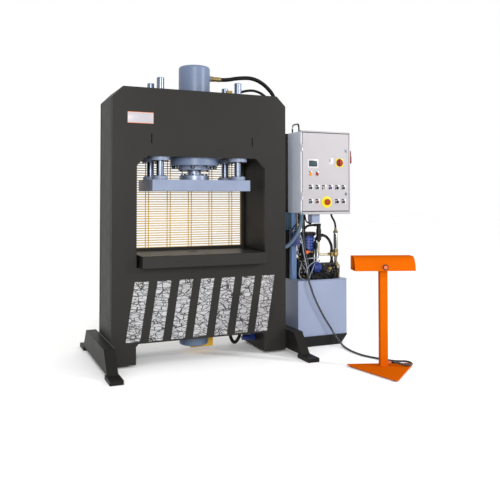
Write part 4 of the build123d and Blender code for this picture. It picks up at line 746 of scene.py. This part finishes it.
small = Piece("circulation_unit", motor_blue)
base_top = 0.773
sy, sz = -0.11, 0.825
small.box((1.281, -0.162, tank_top), (1.59, -0.06, base_top), 0.006, black)
small.lathe([(0.02, 0), (0.05, 0.002), (0.052, 0.01), (0.047, 0.014), (0.046, 0.072), (0.05, 0.078),
             (0.05, 0.09), (0.03, 0.09)], (1.32, sy, sz), right, 36)
for k in range(20):
    spin = Matrix.Rotation(2 * pi * k / 20, 3, "X")
    small.box((1.335, sy - 0.0014, sz + 0.044), (1.393, sy + 0.0014, sz + 0.0535), 0.0008, motor_blue, spin,
              (1.36, sy, sz))
small.box((1.338, sy - 0.026, sz + 0.036), (1.386, sy + 0.026, sz + 0.064), 0.004, deep_blue)
for x, y in product((1.295, 1.575), (-0.15, -0.072)):
    small.hexagon((x, y, base_top), up, 0.005, 0.005, steel)
small.done("circulation_motor")

# Hydraulic unit: valve block with its port ring, valve stack, gauge, filter, tee and control block
block_y = -0.152
ring_x = 1.449
gauge_x, gauge_z = 1.201, 0.985
gauge_centre = (gauge_x, -0.043, gauge_z)
stack_top = 1.2095
filter_at = (1.412, -0.085)
valves = Piece("valve_group", black)
valves.box((1.41, block_y, base_top), (1.59, -0.068, 0.872), 0.004, black_oxide)
valves.lathe([(0.022, 0), (0.038, 0), (0.038, 0.016), (0.035, 0.02), (0.022, 0.02)], (ring_x, block_y, sz),
             ahead, 36, black_oxide)
valves.lathe([(0.014, 0), (0.014, 0.01), (0.009, 0.012), (0, 0.012)], (ring_x, block_y, sz), ahead, 6,
             dull_steel)
for x, z, r, long, finish in (
    (1.432, 0.858, 0.009, 0.02, brass), (1.478, 0.79, 0.009, 0.018, brass),
    (1.515, 0.85, 0.012, 0.026, dull_steel), (1.532, 0.812, 0.014, 0.03, brass),
    (1.558, 0.822, 0.011, 0.02, dull_steel), (1.5, 0.785, 0.008, 0.02, steel),
):
    valves.lathe([(r, 0), (r, long * 0.5), (r * 0.75, long * 0.6), (r * 0.75, long)], (x, block_y, z), ahead,
                 6, finish)
valves.lathe([(0.017, 0), (0.019, 0.003), (0.019, 0.02), (0.013, 0.024), (0.013, 0.034)],
             (1.502, block_y, 0.815), ahead, 6, brass)
for x, z in product((1.545, 1.575), (0.79, 0.852)):
    valves.screw((x, block_y, z), ahead, 0.006, steel)
for k in range(7):
    z = 1.071 + k * 0.0198
    valves.box((1.07, -0.13, z), (1.16, -0.04, z + 0.0158), 0.003, deep_blue)
valves.box((1.078, -0.122, 1.072), (1.152, -0.048, stack_top))
for x, y, finish in (
    (1.078, -0.118, steel), (1.105, -0.118, black), (1.132, -0.118, dial_white),
    (1.09, -0.07, black), (1.128, -0.07, dial_white),
):
    valves.box((x, y, stack_top), (x + 0.02, y + 0.03, stack_top + 0.02), 0.003, finish)
    valves.lathe([(0.006, 0), (0.006, 0.008)], (x + 0.01, y + 0.015, stack_top + 0.02), up, 6, steel)
for z in (1.085, 1.125, 1.165):
    valves.lathe([(0.009, 0), (0.01, 0.002), (0.01, 0.012), (0.007, 0.014)], (1.07, -0.1, z), left, 20, steel)
valves.lathe([(0.03, 0), (0.032, 0.003), (0.032, 0.024), (0.03, 0.028), (0.027, 0.028), (0.027, 0.024)],
             (gauge_x, -0.018, gauge_z), ahead, 36, steel)
valves.disc(0.027, 0.002, (gauge_x, -0.0405, gauge_z), ahead, 0.0003, 32, dial_white)
for k in range(9):
    spin = Matrix.Rotation(radians(-45 + 33.75 * k), 3, "Y")
    valves.box((gauge_x - 0.0008, -0.0433, gauge_z + 0.019), (gauge_x + 0.0008, -0.0424, gauge_z + 0.0245),
               0.0001, black, spin, gauge_centre)
valves.box((gauge_x - 0.0008, -0.0436, gauge_z - 0.003), (gauge_x + 0.0008, -0.0426, gauge_z + 0.019), 0.0001,
           black, Matrix.Rotation(radians(40), 3, "Y"), gauge_centre)
valves.lathe([(0.008, 0), (0.008, 0.02)], (1.165, -0.03, gauge_z), right, 16, brass)
valves.lathe([(0.024, 0), (0.028, 0.004), (0.028, 0.05), (0.025, 0.054), (0.025, 0.06), (0.028, 0.064),
              (0.028, 0.115), (0.024, 0.122), (0.022, 0.15), (0.026, 0.158), (0.026, 0.176), (0.018, 0.182)],
             (*filter_at, 1.118), up, 32)
valves.lathe([(0.015, 0), (0.015, 0.036)], (*filter_at, 1.17), right, 20)
valves.lathe([(0.015, 0), (0.015, 0.036)], (*filter_at, 1.284), left, 20)
valves.lathe([(0.018, 0), (0.021, 0.003), (0.021, 0.016), (0.019, 0.019), (0.019, 0.031), (0.021, 0.034),
              (0.021, 0.047), (0.018, 0.05)], (1.568, -0.098, 0.935), up, 6, brass)
valves.box((1.172, -0.06, tank_top), (1.262, 0.06, 0.92), 0.004)
for k, (z, finish, r) in enumerate((
    (0.73, brass, 0.012), (0.775, steel, 0.01), (0.815, brass, 0.013), (0.86, steel, 0.009),
    (0.895, steel, 0.011),
)):
    for x in (1.192, 1.238):
        valves.lathe([(r, 0), (r, 0.01), (r * 0.7, 0.013), (r * 0.7, 0.02)], (x + 0.006 * (k % 2), -0.06, z),
                     ahead, 6, finish)
for x, finish in ((1.19, brass), (1.225, steel)):
    valves.lathe([(0.012, 0), (0.012, 0.012), (0.009, 0.015), (0.009, 0.03), (0.012, 0.034), (0.012, 0.05)],
                 (x, -0.03, 0.92), up, 6, finish)
valves.done("valve_manifold")

switch = Piece("switch_column", steel)
for z, steps, finish, profile in (
    (tank_top, 6, dull_steel, [(0.026, 0), (0.026, 0.03), (0.022, 0.034), (0.022, 0.075), (0.026, 0.079)]),
    (0.78, 24, black, [(0.017, 0), (0.017, 0.03), (0.021, 0.034), (0.021, 0.06), (0.017, 0.064),
                             (0.017, 0.15)]),
    (0.93, 8, brass, [(0.024, 0), (0.027, 0.004), (0.03, 0.014), (0.03, 0.034), (0.027, 0.038),
                      (0.027, 0.048), (0.03, 0.052), (0.03, 0.074), (0.025, 0.08)]),
    (1.01, 32, steel, [(0.024, 0), (0.024, 0.168), (0.022, 0.172), (0.022, 0.18)]),
    (1.19, 6, dull_steel, [(0.026, 0), (0.028, 0.003), (0.028, 0.02), (0.018, 0.0245)]),
):
    switch.lathe(profile, (1.655, -0.04, z), up, steps, finish)
switch.box((1.631, -0.066, 1.02), (1.645, -0.05, 1.18), 0.003, black)
switch.lathe([(0.012, 0), (0.012, 0.02)], (1.655, -0.06, 0.86), ahead, 6, brass)
switch.done("pressure_switch")

# Pipes and hoses of the unit
pipes = {
    "arch_hose": (0.013, rubber, [
        (1160, -85, 1130), (1205, -85, 1130), (1214, -85, 1215), (1262, -85, 1276), (1320, -85, 1284),
        (1376, -85, 1284)]),
    "side_hose": (0.015, rubber, [
        (1448, -85, 1170), (1486, -85, 1170), (1535, -88, 1130), (1566, -94, 1065), (1568, -98, 1030),
        (1568, -98, 985)]),
    "drop_hose": (0.015, rubber, [(1568, -98, 935), (1568, -98, 903), (1568, -98, 872)]),
    "steel_pipe": (0.013, pale_pipe, [
        (1412, -85, 1118), (1412, -85, 1040), (1412, -85, 960), (1470, -85, 960), (1547, -85, 960)]),
    "switch_hose": (0.011, rubber, [
        (1655, -40, 1215), (1655, -40, 1290), (1625, -40, 1345), (1600, -40, 1378), (1600, -40, 1420)]),
    "feed_hose": (0.022, rubber, [
        (1117, 100, 701), (1117, 100, 900), (1117, 100, 1080), (1055, 100, 1185), (980, 100, 1185),
        (900, 100, 1185)]),
    "drain_pipe": (0.018, rubber, [
        (1161, 130, 701), (1161, 130, 860), (1161, 130, 1010), (1065, 130, 1110), (980, 130, 1110),
        (900, 130, 1110)]),
    "conduit": (0.02, conduit_grey, [
        (1160, -156, 1420), (1160, -156, 1330), (1132, -156, 1240), (1084, -156, 1160), (1025, -156, 1095),
        (965, -156, 1052), (900, -156, 1052)]),
    "bed_pipe": (0.017, rubber, [
        (372, -60, 215), (372, -60, 165), (402, -60, 98), (428, -60, 86), (455, -60, 106), (488, -60, 165),
        (488, -60, 215)]),
}
for name, (radius, finish, route) in pipes.items():
    made = line(name, millimetres(route), radius, finish)
    if name == "arch_hose":
        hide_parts("hydraulic_pipes")

nuts = Piece("pipe_nuts", steel)
for finish, rows in (
    (steel, [((1.16, -0.085, 1.13), right, 0.019, 0.026)]),
    (brass, [((1.5465, -0.085, 0.96), left, 0.018, 0.03), ((1.655, -0.04, 1.2145), up, 0.017, 0.03)]),
    (conduit_grey, [((1.16, -0.156, cabinet_bottom), down, 0.028, 0.03),
                    ((wall_x, -0.156, 1.052), right, 0.028, 0.03)]),
    (black, [
        ((1.376, -0.085, 1.284), left, 0.018, 0.024), ((1.448, -0.085, 1.17), right, 0.02, 0.024),
        ((1.568, -0.098, 0.872), up, 0.021, 0.026), ((1.568, -0.098, 0.985), up, 0.021, 0.024),
        ((1.412, -0.085, 1.118), down, 0.018, 0.022), ((1.6, -0.04, cabinet_bottom), down, 0.019, 0.026),
        ((1.117, 0.1, tank_top), up, 0.03, 0.03), ((1.161, 0.13, tank_top), up, 0.026, 0.03),
        ((wall_x, 0.1, 1.185), right, 0.03, 0.03), ((wall_x, 0.13, 1.11), right, 0.026, 0.03),
        ((0.372, -0.06, 0.215), down, 0.023, 0.02), ((0.488, -0.06, 0.215), down, 0.023, 0.02)]),
):
    for at, axis, r, long in rows:
        nuts.lathe([(r * 0.92, 0), (r, long * 0.12), (r, long * 0.6), (r * 0.8, long * 0.7), (r * 0.8, long)],
                   at, axis, 6, finish)
nuts.done()

# Wiring and small bore pipes of the unit, each fixed at both ends
wiring = {
    "sensor_lead_a": (0.0055, cable_grey, [
        (1139, -118, 1224), (1143, -160, 1190), (1150, -190, 1120), (1159, -190, 1039), (1175, -190, 959),
        (1196, -190, 885), (1214, -188, 792), (1222, -180, 740), (1224, -180, 703)]),
    "sensor_lead_b": (0.0045, cable_grey, [
        (1386, -140, 889), (1376, -178, 915), (1334, -180, 906), (1284, -180, 886), (1228, -180, 846),
        (1209, -178, 806), (1217, -176, 761), (1231, -174, 703)]),
    "sensor_lead_c": (0.006, cable_grey, [
        (1262, -20, 905), (1240, -130, 925), (1238, -172, 931), (1287, -175, 934), (1344, -160, 930),
        (1392, -112, 925), (1412, -85, 958)]),
    "sensor_lead_d": (0.0045, cable_grey, [
        (1330, -140, 872), (1300, -178, 856), (1274, -184, 801), (1246, -182, 754), (1240, -178, 703)]),
    "sensor_lead_e": (0.004, cable_grey, [
        (1200, -78, 896), (1172, -140, 872), (1142, -150, 822), (1130, -150, 768), (1146, -150, 726),
        (1180, -150, 712), (1205, -150, 703)]),
    "sensor_lead_f": (0.004, cable_grey, [
        (1198, -78, 862), (1196, -130, 850), (1216, -150, 794), (1240, -150, 738), (1246, -150, 703)]),
    "stack_riser": (0.0065, brass, [(1139, -100, 1420), (1139, -100, 1340), (1139, -100, 1224)]),
    "return_elbow": (0.012, dull_steel, [
        (1640, -60, 925), (1644, -74, 860), (1646, -78, 800), (1636, -80, 752), (1600, -80, 744),
        (1590, -85, 744)]),
    "base_loop_a": (0.009, rubber, [
        (1300, -150, 745), (1310, -176, 762), (1346, -180, 768), (1400, -180, 752), (1440, -176, 725),
        (1450, -160, 705)]),
    "base_loop_b": (0.009, rubber, [
        (1370, -150, 735), (1385, -178, 760), (1430, -182, 766), (1480, -180, 748), (1515, -176, 720),
        (1525, -160, 703)]),
    "pump_lead_a": (0.009, rubber, [
        (1262, -10, 800), (1300, -60, 830), (1306, -90, 900), (1290, -70, 965), (1280, -52, 985)]),
    "pump_lead_b": (0.008, rubber, [
        (1190, -30, 965), (1192, -60, 1020), (1186, -90, 1080), (1170, -95, 1110), (1158, -95, 1120)]),
    "pump_lead_c": (0.007, rubber, [
        (1225, -30, 965), (1236, -60, 1010), (1262, -80, 1030), (1286, -60, 1020), (1300, -30, 1010)]),
    "junction_lead": (0.008, rubber, [
        (1330, -70, 1310), (1318, -66, 1296), (1290, -60, 1310), (1262, -60, 1330), (1250, -60, 1420)]),
    "filter_lead": (0.011, rubber, [
        (1396, -68, 1150), (1384, -66, 1130), (1380, -74, 1080), (1380, -82, 1000), (1374, -90, 930),
        (1366, -92, 888)]),
    "valve_lead_a": (0.007, rubber, [
        (1172, -70, 1420), (1172, -72, 1360), (1150, -86, 1300), (1140, -100, 1260), (1142, -104, 1228)]),
    "valve_lead_b": (0.007, rubber, [
        (1186, -60, 1420), (1188, -62, 1350), (1166, -62, 1290), (1140, -58, 1262), (1138, -56, 1228)]),
    "valve_lead_c": (0.006, rubber, [
        (1100, -56, 1228), (1104, -60, 1262), (1160, -64, 1300), (1196, -60, 1350), (1200, -50, 1420)]),
    "block_lead_a": (0.009, rubber, [
        (1214, -60, 1420), (1218, -72, 1330), (1222, -84, 1200), (1214, -84, 1090), (1196, -70, 1010),
        (1190, -40, 960)]),
    "block_lead_b": (0.009, rubber, [
        (1228, -50, 1420), (1236, -70, 1330), (1240, -84, 1180), (1232, -80, 1060), (1226, -50, 962)]),
    "block_lead_c": (0.01, rubber, [
        (1160, -80, 1090), (1190, -84, 1084), (1206, -84, 1040), (1200, -84, 980), (1204, -74, 930),
        (1210, -56, 905)]),
    "block_lead_d": (0.009, rubber, [
        (1246, 10, 915), (1250, -30, 960), (1254, -64, 1020), (1250, -74, 1100), (1246, -70, 1210),
        (1250, -50, 1330), (1252, -40, 1420)]),
    "block_lead_e": (0.009, rubber, [
        (1236, 74, 1420), (1238, 78, 1330), (1232, 80, 1200), (1240, 76, 1080), (1238, 62, 980),
        (1236, 40, 920)]),
    "block_lead_f": (0.008, rubber, [
        (1256, 66, 1420), (1262, 70, 1300), (1256, 78, 1180), (1262, 72, 1060), (1254, 60, 970),
        (1248, 36, 920)]),
    "end_hose_a": (0.009, brass, [
        (1618, -134, 852), (1634, -134, 850), (1640, -136, 838), (1640, -138, 790), (1636, -138, 740),
        (1632, -138, 703)]),
    "end_hose_b": (0.008, rubber, [
        (1616, -136, 808), (1624, -138, 804), (1626, -142, 780), (1618, -146, 740), (1612, -148, 703)]),
    "manifold_hose_a": (0.011, rubber, [
        (1532, -178, 812), (1536, -190, 806), (1548, -190, 770), (1545, -176, 730), (1530, -160, 703)]),
    "manifold_hose_b": (0.01, rubber, [
        (1515, -174, 850), (1524, -188, 856), (1550, -188, 858), (1576, -178, 830), (1590, -160, 790),
        (1600, -140, 730), (1600, -130, 703)]),
}
for k, tag in enumerate("abcde"):
    step = 17 * k
    wiring["back_riser_" + tag] = (0.0085, rubber, [
        (1085 + step, 109, 1422), (1083 + step, 104, 1300), (1085 + step, 60, 1240), (1081 + step, 56, 1120),
        (1087 + step, 55, 980), (1088 + step, 55, 840), (1105 + step * 0.9, 58, 703)])
for name, (radius, finish, route) in wiring.items():
    line(name, millimetres(route), radius, finish)

fittings = Piece("small_fittings", steel)
for x, y, z, r, finish in (
    (1.139, -0.1, 1.385, 0.011, brass), (1.139, -0.1, 1.335, 0.01, steel), (1.139, -0.1, 1.285, 0.011, brass),
    (1.139, -0.1, 1.24, 0.01, steel), (1.169, -0.178, 1.0, 0.009, steel), (1.188, -0.19, 0.92, 0.008, steel),
    (1.19, -0.03, 0.985, 0.01, brass), (1.225, -0.03, 0.985, 0.01, steel),
):
    fittings.lathe([(r * 0.9, 0), (r, r * 0.2), (r, r * 1.6), (r * 0.9, r * 1.8)], (x, y, z - r * 0.9), up,
                   6, finish)
for y, z, r, finish in (
    (-0.134, 0.852, 0.013, brass), (-0.1, 0.846, 0.012, steel), (-0.136, 0.808, 0.012, brass),
    (-0.104, 0.8, 0.011, dull_steel),
):
    fittings.lathe([(r * 0.9, 0), (r, r * 0.2), (r, r * 1.3), (r * 0.7, r * 1.5), (r * 0.7, r * 2.4)],
                   (1.59, y, z), right, 6, finish)
fittings.done()

# Pedestal: collars of the buttons, and the gland of the cord
stand = Piece("pedestal_trim", button_black)
for side in (-1, 1):
    stand.lathe([(0.0097, 0), (0.024, 0), (0.024, 0.003), (0.021, 0.005), (0.0097, 0.005)],
                pedestal(193 * side, 20, 968), pedestal_x * side, 32)
stand.lathe([(0.0185, 0), (0.0275, 0), (0.0275, 0.004), (0.025, 0.007), (0.0185, 0.007)],
            pedestal(0, -93, 941), -pedestal_y, 36)
stand.lathe([(0.017, 0), (0.017, 0.006), (0.0145, 0.008), (0.0145, 0.0352), (0.0118, 0.0382)],
            pedestal(35, 0, gland_z), pedestal_x, 6, grey_plastic)
stand.done()

# Floor, light and sky
floor_mesh = bpy.data.meshes.new("floor")
size = 40.0
corners = [(-size, -size, 0), (size, -size, 0), (size, size, 0), (-size, size, 0)]
floor_mesh.from_pydata(corners, [], [(0, 1, 2, 3)])
floor_white = surface("floor", (255, 255, 255), 0.7, spread=0.0, scale=0.5, grain=0.0, gleam=0.2)
floor_mesh.materials.append(floor_white)
floor = bpy.data.objects.new("floor", floor_mesh)
floor.location.z = -0.0005
scene.collection.objects.link(floor)

world = bpy.data.worlds.new("studio")
world.use_nodes = True
world.node_tree.nodes["Background"].inputs["Color"].default_value = (1, 1, 1, 1)
world.node_tree.nodes["Background"].inputs["Strength"].default_value = 1.0
scene.world = world


def softbox(name, at, target, size, power):
    data = bpy.data.lights.new(name, "AREA")
    data.shape = "SQUARE"
    data.size = size
    data.energy = power
    lamp = bpy.data.objects.new(name, data)
    lamp.location = at
    lamp.rotation_euler = (Vector(target) - Vector(at)).to_track_quat("-Z", "Y").to_euler()
    scene.collection.objects.link(lamp)


softbox("key", (-2.2, -7.9, 3.2), (0.6, 0, 1.4), 2.0, 370)
softbox("side", (7.4, -6.6, 4.2), (1.1, 0, 1.0), 0.35, 360)
